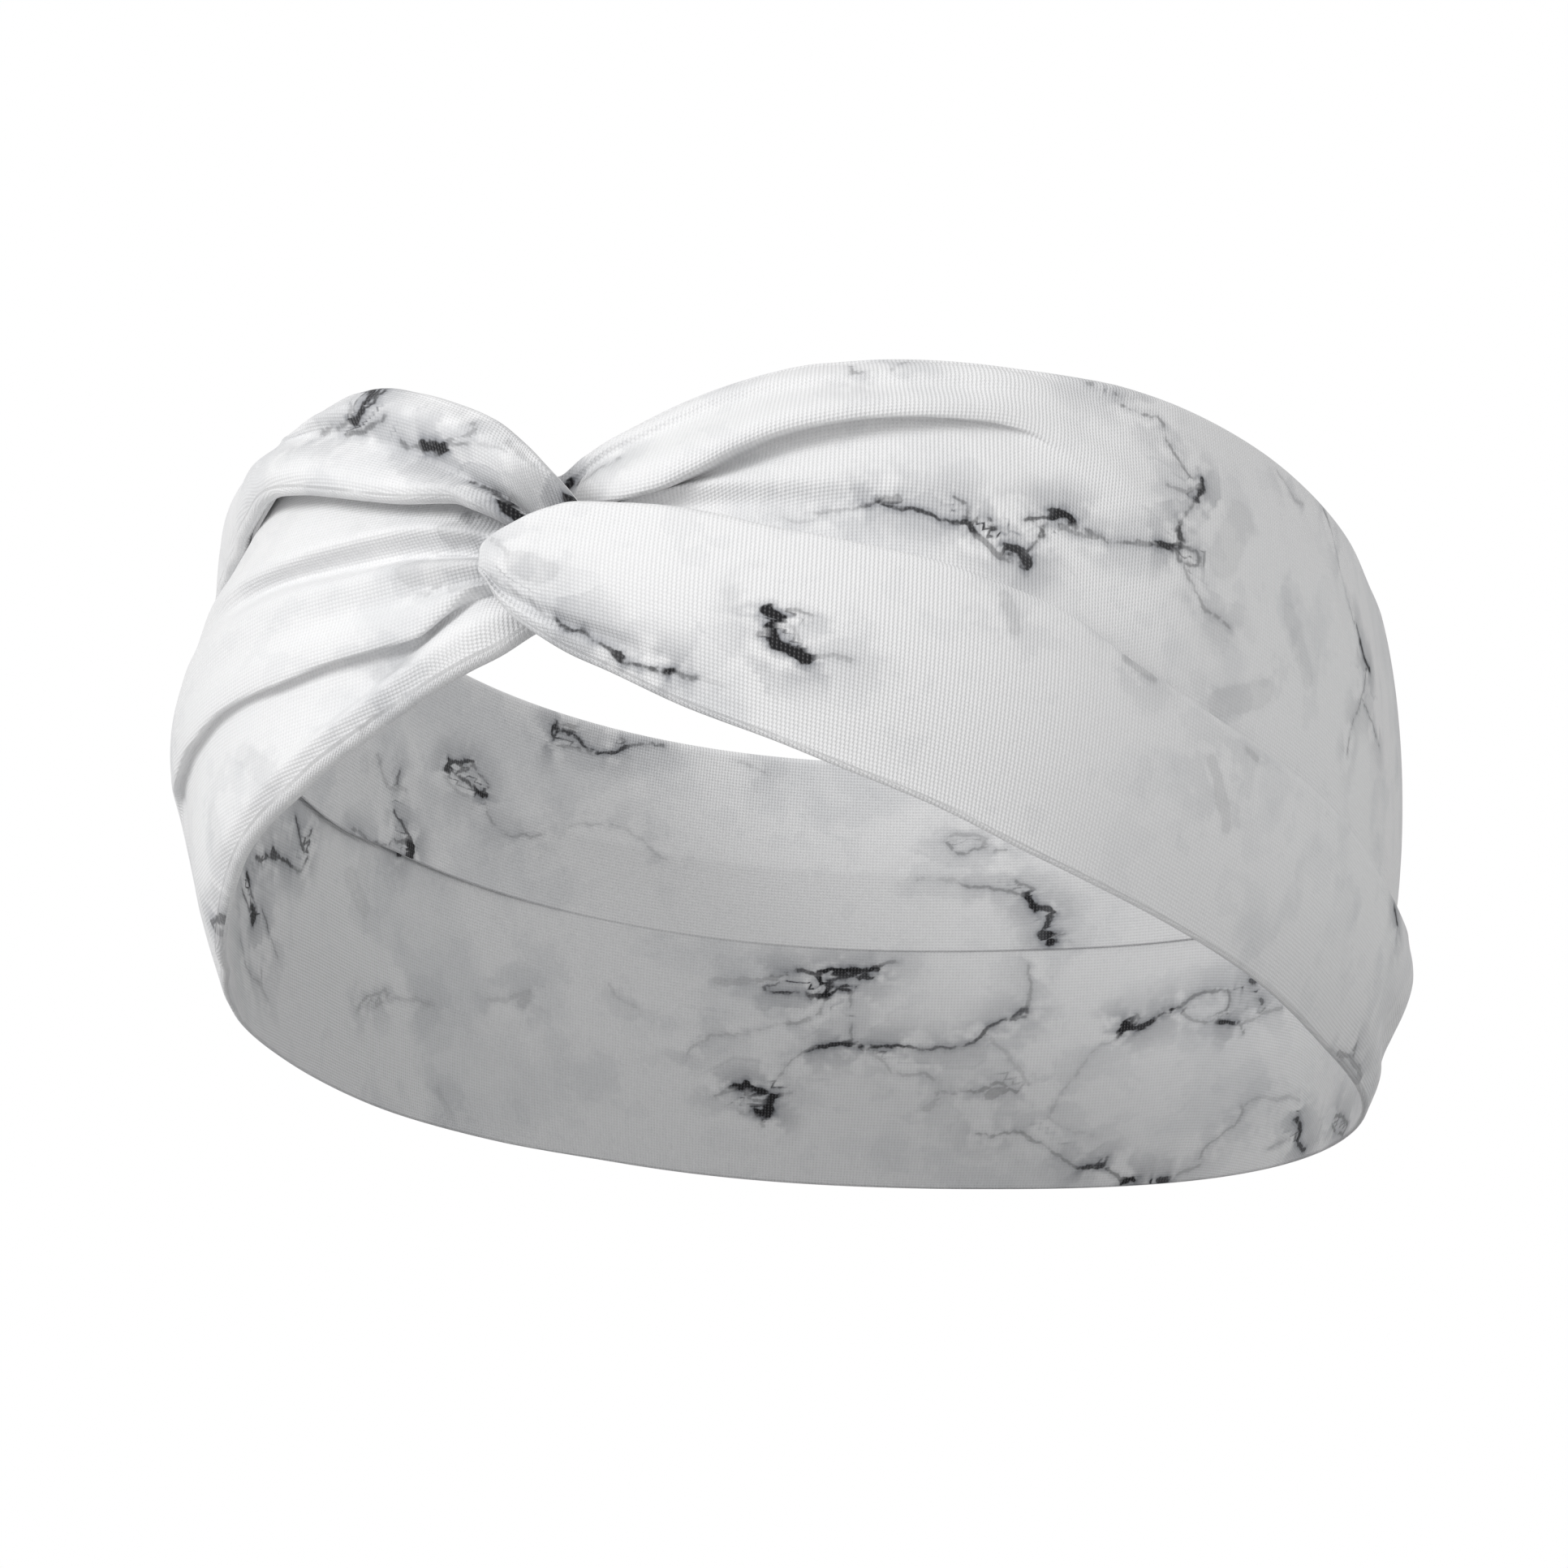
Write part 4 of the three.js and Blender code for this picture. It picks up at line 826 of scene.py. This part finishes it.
# the dome's lower right corner slips behind the top of the lobe
SLIP_ANGLE, SLIP_HEIGHT, SLIP_REACH, SLIP_DEPTH = 355.5, 48, 5, 5.0
slip = np.clip((upper_angles - SLIP_ANGLE) / SLIP_REACH, 0, 1)[:, None] * np.clip(
    (SLIP_HEIGHT - upper_net[..., 0]) / SLIP_REACH, 0, 1)
upper_net[..., 1] -= SLIP_DEPTH * slip * slip * (3 - 2 * slip)
upper_loops = section_loops(
    upper_net, smooth(UPPER_THICKNESS, upper_angles), smooth(UPPER_HEM, upper_angles))
UPPER_OUTSIDE_VEINS = [
    (0.95, 0.32, (346.5, 0.773), (346.6, 0.749), (346.5, 0.731), (345.8, 0.722), (345.1, 0.722)),
    (0.85, 0.18, (347.5, 0.766), (347.2, 0.758), (347.3, 0.743), (346.9, 0.736)),
    (0.5, 0.1, (345.1, 0.722), (343.8, 0.721), (342.7, 0.723), (341.3, 0.726), (340.1, 0.724)),
    (0.6, 0.1, (344.1, 0.708), (345.8, 0.708), (347.3, 0.707), (348.1, 0.709), (348.2, 0.712)),
    (0.4, 0.06, (345.1, 0.761), (345.5, 0.738), (345.2, 0.728), (345.5, 0.72)),
    (0.55, 0.1, (349.4, 0.673), (349.7, 0.665), (350.3, 0.662), (351.2, 0.659)),
    (1, 0.45, (351.4, 0.658), (351.9, 0.655), (352.6, 0.649), (353.1, 0.651)),
    (0.9, 0.3, (351.9, 0.659), (352.2, 0.647), (353, 0.651)),
    (0.5, 0.1, (353.2, 0.651), (354.1, 0.653), (355.1, 0.65), (355.5, 0.646)),
    (0.25, 0.1, (355.5, 0.646), (356.1, 0.643), (356.8, 0.639), (357.5, 0.63), (357.9, 0.624)),
    (0.45, 0.1, (353.5, 0.66), (354.3, 0.661), (355, 0.663), (355.3, 0.672), (355, 0.683)),
    (0.25, 0.2, (357.8, 0.647), (358.4, 0.636), (359.2, 0.616), (359.6, 0.607)),
    (0.75, 0.15, (355.1, 0.597), (355.9, 0.587), (356.5, 0.581), (357.1, 0.57), (357.5, 0.558)),
    (1, 0.55, (357.4, 0.561), (357.5, 0.555), (357.7, 0.547)),
    (0.3, 0.2, (358.1, 0.561), (357.9, 0.569), (357.7, 0.574)),
    (1, 0.45, (361.6, 0.571), (361.9, 0.571)),
    (1, 0.45, (-0.8, 0.635), (-0.5, 0.64)),
    (0.35, 0.15, (1, 0.638), (1.8, 0.651), (3, 0.651), (3.4, 0.661)),
    (0.5, 0.1, (20.2, 0.838), (20.5, 0.82), (20.9, 0.821)),
    (0.35, 0.1, (23.4, 0.834), (24.1, 0.851), (24.7, 0.855)),
    (0.45, 0.2, (38.9, 0.867), (39.2, 0.867)),
    (0.6, 0.12, (41.2, 0.857), (42, 0.843), (43.2, 0.84)),
    (0.55, 0.1, (43.2, 0.84), (44.2, 0.832), (45, 0.835), (45.7, 0.816), (45.9, 0.797),
     (46.8, 0.781), (47.7, 0.762), (48.6, 0.75), (49.2, 0.741)),
    (0.95, 0.28, (49.3, 0.749), (49.7, 0.733), (48.9, 0.718), (48.4, 0.712)),
    (0.4, 0.1, (45.6, 0.718), (46.7, 0.718), (47.7, 0.721), (48.8, 0.735)),
    (0.5, 0.1, (48.6, 0.712), (47.8, 0.695), (47.2, 0.677), (46.8, 0.655)),
    (0.9, 0.28, (46.9, 0.67), (46.8, 0.648), (47.3, 0.636), (46.8, 0.624)),
    (0.95, 0.3, (44.7, 0.617), (45.7, 0.619), (46.3, 0.621)),
    (0.6, 0.12, (46.8, 0.63), (47.7, 0.625), (48.8, 0.626), (49.2, 0.61), (47.9, 0.598),
     (46.9, 0.6), (46.7, 0.615)),
    (0.5, 0.15, (42.9, 0.614), (43.8, 0.614), (44.7, 0.617)),
    (0.45, 0.1, (47.6, 0.592), (48.3, 0.574), (48.9, 0.563), (49.7, 0.543), (50.7, 0.533),
     (52.2, 0.536), (53.3, 0.528)),
    (0.9, 0.15, (21.7, 0.596), (22.6, 0.604), (23.8, 0.6), (25, 0.599), (26.2, 0.593),
     (27.4, 0.588), (28.6, 0.588), (29.4, 0.588)),
    (0.5, 0.25, (23.1, 0.611), (23.8, 0.613), (24.2, 0.619)),
    (0.4, 0.08, (17.9, 0.577), (19.1, 0.584), (20.3, 0.585), (21.7, 0.596)),
    (0.25, 0.08, (15.8, 0.575), (17.1, 0.566), (18.3, 0.57)),
    (0.6, 0.12, (28.6, 0.627), (29.3, 0.62), (29.5, 0.605), (29.8, 0.597)),
    (0.95, 0.28, (29.4, 0.591), (29.8, 0.579), (30.2, 0.57)),
    (0.9, 0.28, (31, 0.599), (31.3, 0.589)),
    (0.6, 0.3, (30.2, 0.569), (31, 0.558), (31.8, 0.546), (32.6, 0.539), (33.8, 0.535)),
    (0.95, 0.45, (32.6, 0.557), (33.4, 0.554), (34.1, 0.542), (33.8, 0.535)),
    (0.8, 0.2, (33.8, 0.555), (34.7, 0.575), (35.4, 0.589), (35.4, 0.605), (34.6, 0.611)),
    (0.8, 0.15, (33.8, 0.607), (34.6, 0.611), (35.7, 0.617), (36.3, 0.619)),
    (0.9, 0.22, (35.9, 0.633), (36.2, 0.621)),
    (1, 0.36, (36.2, 0.621), (37, 0.631), (37.5, 0.627), (37.8, 0.622)),
    (0.6, 0.12, (37.3, 0.618), (38.3, 0.616), (39.1, 0.614), (40, 0.608), (40.9, 0.605),
     (41.9, 0.608), (42.9, 0.61)),
    (0.5, 0.1, (37, 0.607), (38, 0.607), (39.4, 0.604)),
    (0.3, 0.15, (62.1, 0.848), (63.7, 0.837), (65.6, 0.823), (67.1, 0.824)),
    (0.5, 0.15, (74.2, 0.859), (75.8, 0.841)),
    (0.35, 0.1, (75.8, 0.841), (76.6, 0.774), (78.6, 0.726), (80.6, 0.694)),
    (1, 0.28, (83.1, 0.677), (84.5, 0.656), (87.7, 0.651)),
    (0.7, 0.2, (83.1, 0.677), (82.1, 0.698)),
    (0.45, 0.1, (85.5, 0.633), (83.3, 0.58), (80.3, 0.53), (79.1, 0.486), (78.8, 0.459)),
    (0.5, 0.1, (83.3, 0.58), (88.3, 0.563), (93.1, 0.545)),
    (0.12, 2.2, (51.8, 0.629), (54.7, 0.718)),
    (0.14, 1.6, (52.8, 0.401), (59.3, 0.459)),
    (0.12, 1.8, (62.6, 0.602), (66.5, 0.525)),
    (0.5, 0.1, (110, 0.8), (118, 0.72), (121, 0.62), (130, 0.58)),
    (0.9, 0.35, (119, 0.66), (122, 0.63)),
    (0.5, 0.1, (150, 0.86), (158, 0.74), (168, 0.7), (173, 0.62)),
    (0.9, 0.35, (160, 0.73), (163, 0.71)),
    (0.45, 0.1, (205, 0.8), (214, 0.76), (219, 0.66)),
    (0.9, 0.3, (213, 0.76), (215, 0.73)),
    (0.45, 0.1, (262, 0.84), (270, 0.74), (281, 0.7), (287, 0.6)),
    (0.9, 0.35, (271, 0.73), (274, 0.72)),
]
UPPER_INSIDE_VEINS = [
    (0.95, 0.22, (229.2, 0.854), (229.5, 0.846), (229.5, 0.833), (228.8, 0.819), (229.5, 0.807)),
    (0.9, 0.17, (228.4, 0.845), (227.1, 0.84), (225.7, 0.833), (224.6, 0.821), (223.3, 0.821),
     (221.9, 0.827), (220.6, 0.834), (219.8, 0.847)),
    (0.6, 0.1, (219.8, 0.847), (218.7, 0.853), (217.2, 0.86), (215.6, 0.862)),
    (0.5, 0.1, (219.8, 0.854), (220.5, 0.859)),
    (0.45, 0.08, (230.3, 0.807), (227.9, 0.813), (225.7, 0.814), (223.2, 0.82)),
    (0.5, 0.2, (228.1, 0.854), (226.3, 0.853)),
    (0.95, 0.3, (244.2, 0.701), (244.3, 0.688), (243.4, 0.687)),
    (0.9, 0.18, (244.2, 0.701), (242.7, 0.702), (241.6, 0.714), (240.4, 0.722)),
    (0.7, 0.12, (241.9, 0.707), (241.4, 0.695), (240.5, 0.708), (240, 0.721)),
    (0.8, 0.15, (243.4, 0.687), (241.5, 0.683), (240.1, 0.681), (239, 0.675)),
    (0.6, 0.1, (240.2, 0.713), (238.9, 0.708), (237.6, 0.696), (237, 0.688), (237.5, 0.676)),
    (1, 0.32, (239, 0.675), (238.2, 0.669), (237.4, 0.668)),
    (0.3, 0.08, (244.3, 0.675), (243, 0.662), (240.9, 0.656), (239.7, 0.656)),
    (0.35, 0.08, (237.4, 0.663), (236.8, 0.642), (235.6, 0.628), (234.1, 0.617), (232.1, 0.616),
     (229.9, 0.623), (228.6, 0.636)),
    (0.22, 0.08, (225.6, 0.662), (222.6, 0.683), (218.8, 0.689), (216.5, 0.67), (215, 0.65),
     (213.8, 0.642)),
    (0.8, 0.12, (251.7, 0.569), (250.1, 0.555), (248.7, 0.538), (248, 0.529)),
    (0.6, 0.15, (251.1, 0.517), (249.7, 0.524), (248.3, 0.524)),
    (1, 0.5, (248.3, 0.524), (247.5, 0.517), (247.6, 0.503)),
    (0.9, 0.35, (248, 0.503), (248.3, 0.503)),
    (0.5, 0.1, (260.8, 0.492), (258, 0.495), (256.1, 0.493), (254.1, 0.494), (252.6, 0.496)),
    (0.3, 0.15, (258.1, 0.645), (256.1, 0.626), (254.2, 0.607), (252.6, 0.608), (250.6, 0.614)),
    (0.6, 0.15, (252.8, 0.64), (252.5, 0.615)),
    (1, 0.3, (178.3, 0.611), (177.8, 0.598), (177.3, 0.583)),
    (0.9, 0.25, (177.3, 0.583), (176.1, 0.584), (175.4, 0.572)),
    (0.9, 0.3, (176.1, 0.584), (176, 0.558), (176.4, 0.541), (176.7, 0.525)),
    (1, 0.35, (176.4, 0.533), (175.4, 0.532), (175.3, 0.519), (176, 0.512)),
    (0.6, 0.15, (175.3, 0.526), (174.4, 0.531)),
    (0.35, 0.1, (174.5, 0.519), (173.3, 0.512)),
    (0.5, 0.15, (179.1, 0.637), (178.3, 0.63), (177.5, 0.623)),
    (0.5, 0.1, (184.1, 0.637), (182.3, 0.63), (180.8, 0.618), (179.2, 0.617), (178.3, 0.611)),
    (0.25, 0.1, (188.8, 0.644), (186.4, 0.643), (184.1, 0.637)),
    (0.5, 0.1, (186.4, 0.723), (185.8, 0.709), (185, 0.696), (184.2, 0.696), (183.4, 0.708),
     (182.3, 0.709)),
    (0.35, 0.1, (182.3, 0.709), (182.1, 0.728), (183.4, 0.734), (185.1, 0.735), (186.4, 0.724)),
    (0.4, 0.1, (181.5, 0.702), (180.1, 0.703)),
    (0.3, 0.1, (207.7, 0.854), (206.9, 0.853), (205.6, 0.848), (204.4, 0.845)),
    (0.4, 0.1, (100, 0.6), (92, 0.5), (80, 0.55), (70, 0.48)),
    (0.9, 0.3, (91, 0.5), (88, 0.51)),
    (0.4, 0.1, (30, 0.8), (38, 0.7), (50, 0.72)),
    (0.4, 0.1, (300, 0.8), (310, 0.72), (321, 0.74)),
    (0.9, 0.3, (309, 0.73), (312, 0.72)),
]
upper_strip = bpy.data.objects.new(
    "upper_strip",
    strip_mesh("upper_strip", upper_angles, upper_loops, UPPER_OUTSIDE_VEINS, UPPER_INSIDE_VEINS),
)
bpy.context.scene.collection.objects.link(upper_strip)
upper_strip.data.materials.append(printed_jersey("printed_jersey_upper", 2.0))
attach(upper_strip, "root")
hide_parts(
    "upper_outer_panel", "upper_lining_panel",
    "upper_top_seam_allowance", "upper_bottom_seam_allowance",
)

# ---------------------------------------------------------------------------------------------
# The two gathered wraps of the knot: where each tube turns back on itself behind the other one,
# its cloth is crushed into a short rope of soft pleats.
# ---------------------------------------------------------------------------------------------
WRAP_SIDES, WRAP_STEPS = 60, 60
ROUTE_SOFTENING = 6  # rounds of smoothing along the rope's middle line
PLEAT_BASE, PLEAT_DEPTH, PLEAT_DRIFT = 0.94, 0.11, 0.5


def gathered_wrap(name, route, width, thickness, folds, veins, seed):
    """A short rope of pleated cloth along a route of (angle, height, depth), ends drawn in."""
    route = np.asarray(route, float)
    at = np.linspace(0, 1, len(route))
    share = np.linspace(0, 1, WRAP_STEPS)
    line = smooth(np.column_stack([at, route]), share)
    centre = place(line[:, 0], line[:, 1], line[:, 2]) / MM
    for _ in range(ROUTE_SOFTENING):
        centre[1:-1] = (centre[:-2] + 2 * centre[1:-1] + centre[2:]) / 4
    along = np.gradient(centre, axis=0)
    along /= np.linalg.norm(along, axis=1, keepdims=True)
    out = place(line[:, 0], line[:, 1], line[:, 2] + 5) / MM - centre
    out -= (out * along).sum(1, keepdims=True) * along
    out /= np.linalg.norm(out, axis=1, keepdims=True)
    side = np.cross(along, out)
    turn = np.linspace(0, 2 * math.pi, WRAP_SIDES, endpoint=False)
    draw = np.sqrt(np.clip(1 - np.abs(2 * share - 1) ** 6, 0.01, 1))[:, None]
    drift = PLEAT_DRIFT * np.sin(4 * share + seed)[:, None]
    pleat = PLEAT_BASE + PLEAT_DEPTH * np.abs(np.sin(folds / 2 * turn + seed + drift))
    reach = draw * pleat
    ring = (
        centre[:, None]
        + (reach * np.cos(turn) * thickness / 2)[..., None] * out[:, None]
        + (reach * np.sin(turn) * width / 2)[..., None] * side[:, None]
    )
    faces = [
        (i * WRAP_SIDES + j, i * WRAP_SIDES + (j + 1) % WRAP_SIDES,
         (i + 1) * WRAP_SIDES + (j + 1) % WRAP_SIDES, (i + 1) * WRAP_SIDES + j)
        for i in range(WRAP_STEPS - 1)
        for j in range(WRAP_SIDES)
    ]
    count = WRAP_STEPS * WRAP_SIDES
    points = np.concatenate([ring.reshape(-1, 3), centre[:1], centre[-1:]])
    faces += [(j, count, (j + 1) % WRAP_SIDES) for j in range(WRAP_SIDES)]
    last = count - WRAP_SIDES
    faces += [(last + j, last + (j + 1) % WRAP_SIDES, count + 1) for j in range(WRAP_SIDES)]
    mesh = bpy.data.meshes.new(name)
    mesh.from_pydata((points * MM).tolist(), [], faces)
    mesh.validate()
    mesh.shade_smooth()
    length = np.concatenate([[0], np.cumsum(np.linalg.norm(np.diff(centre, axis=0), axis=1))])
    cloth = np.stack(np.broadcast_arrays(
        length[:, None], turn * (width + thickness) / 4, 0.0), -1).reshape(-1, 3)
    cloth = np.concatenate([cloth, cloth[:1], cloth[-1:]])
    vein, ink = print_offsets(cloth[:, :2], veins)
    add_layers(
        mesh,
        cloth=cloth,
        spot=cloth + (LAYER_SHIFT * seed, 11, 5),
        vein=vein,
        ink=np.column_stack([ink, np.zeros(len(ink))]),
    )
    made = bpy.data.objects.new(name, mesh)
    bpy.context.scene.collection.objects.link(made)
    mesh.materials.append(printed_jersey("printed_jersey_" + name, seed))
    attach(made, "root")
    return made


right_wrap = gathered_wrap(
    "right_wrap",
    [(-0.5, 36.0, 1.2), (-2.6, 37.0, -1.0), (-3.6, 39.0, -4.4), (-3.0, 40.8, -7.8),
     (-1.4, 42.0, -9.8), (0.6, 42.8, -10.6), (2.6, 43.0, -10.4)],
    width=7.4, thickness=4.4, folds=7, veins=[(0.6, 0.1, (2, 0.02), (9, 0.09))], seed=3.0)
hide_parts("right_knot_wrap")
left_wrap = gathered_wrap(
    "left_wrap",
    [(-2.4, 42.0, 0.0), (0.0, 41.4, 0.2), (1.6, 39.6, -1.0), (1.8, 37.4, -2.6), (0.2, 35.8, -3.2),
     (-3.2, 35, -2.2), (-6.2, 34.8, -0.4)],
    width=7.0, thickness=3.8, folds=7, veins=[(0.5, 0.1, (6, 0.03), (14, 0.10))], seed=4.0)
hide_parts("left_knot_wrap")

# ---------------------------------------------------------------------------------------------
# Studio: a pale floor that is only there from above, a white room, and soft lamps.
# ---------------------------------------------------------------------------------------------
FLOOR_REACH, FLOOR_DROP = 3, 0.0005
floor_mesh = bpy.data.meshes.new("floor")
square = ((-1, -1), (1, -1), (1, 1), (-1, 1))
floor_corners = [(x * FLOOR_REACH, y * FLOOR_REACH, 0) for x, y in square]
floor_mesh.from_pydata(floor_corners, [], [(0, 1, 2, 3)])
floor = bpy.data.objects.new("floor", floor_mesh)
floor.location.z = -FLOOR_DROP
bpy.context.scene.collection.objects.link(floor)
floor_paper = bpy.data.materials.new("floor_paper")
floor_paper.use_nodes = True
floor_paper.node_tree.nodes.clear()
sheet = Socket(floor_paper.node_tree, None)
paper = sheet.node("ShaderNodeBsdfDiffuse", Color=(0.72, 0.72, 0.72, 1))
clear = sheet.node("ShaderNodeBsdfTransparent")
underneath = sheet.node("ShaderNodeNewGeometry", {}, "Backfacing")
mixed = sheet.node("ShaderNodeMixShader", _0=underneath, _1=paper, _2=clear)
sheet.node("ShaderNodeOutputMaterial", Surface=mixed)
floor_mesh.materials.append(floor_paper)

AMBIENT = 0.56  # light of the white room on the cloth, next to how white it looks
world = bpy.data.worlds.new("room")
world.use_nodes = True
room = Socket(world.node_tree, None)
seen = room.node("ShaderNodeLightPath", {}, "Is Camera Ray")
backdrop = world.node_tree.nodes["Background"]
backdrop.inputs["Color"].default_value = (1, 1, 1, 1)
world.node_tree.links.new((seen * (1 - AMBIENT) + AMBIENT).output, backdrop.inputs["Strength"])
bpy.context.scene.world = world
bpy.context.scene.view_settings.view_transform = "Standard"


LAMP_AIM = Vector((0, 0, 0.03))


def lamp(name, turn, tilt, distance, size, power):
    """A square soft lamp that looks at the band's middle from a compass turn and a tilt."""
    turn, tilt = math.radians(turn), math.radians(tilt)
    way = Vector((
        math.sin(turn) * math.cos(tilt), -math.cos(turn) * math.cos(tilt), math.sin(tilt)))
    light = bpy.data.lights.new(name, "AREA")
    light.size, light.energy = size, power
    made = bpy.data.objects.new(name, light)
    made.location = LAMP_AIM + way * distance
    made.rotation_euler = way.to_track_quat("Z", "Y").to_euler()
    bpy.context.scene.collection.objects.link(made)


lamp("key", turn=-25, tilt=11, distance=1.2, size=0.42, power=7.1)
lamp("fill", turn=50, tilt=16, distance=1.4, size=0.8, power=2.6)
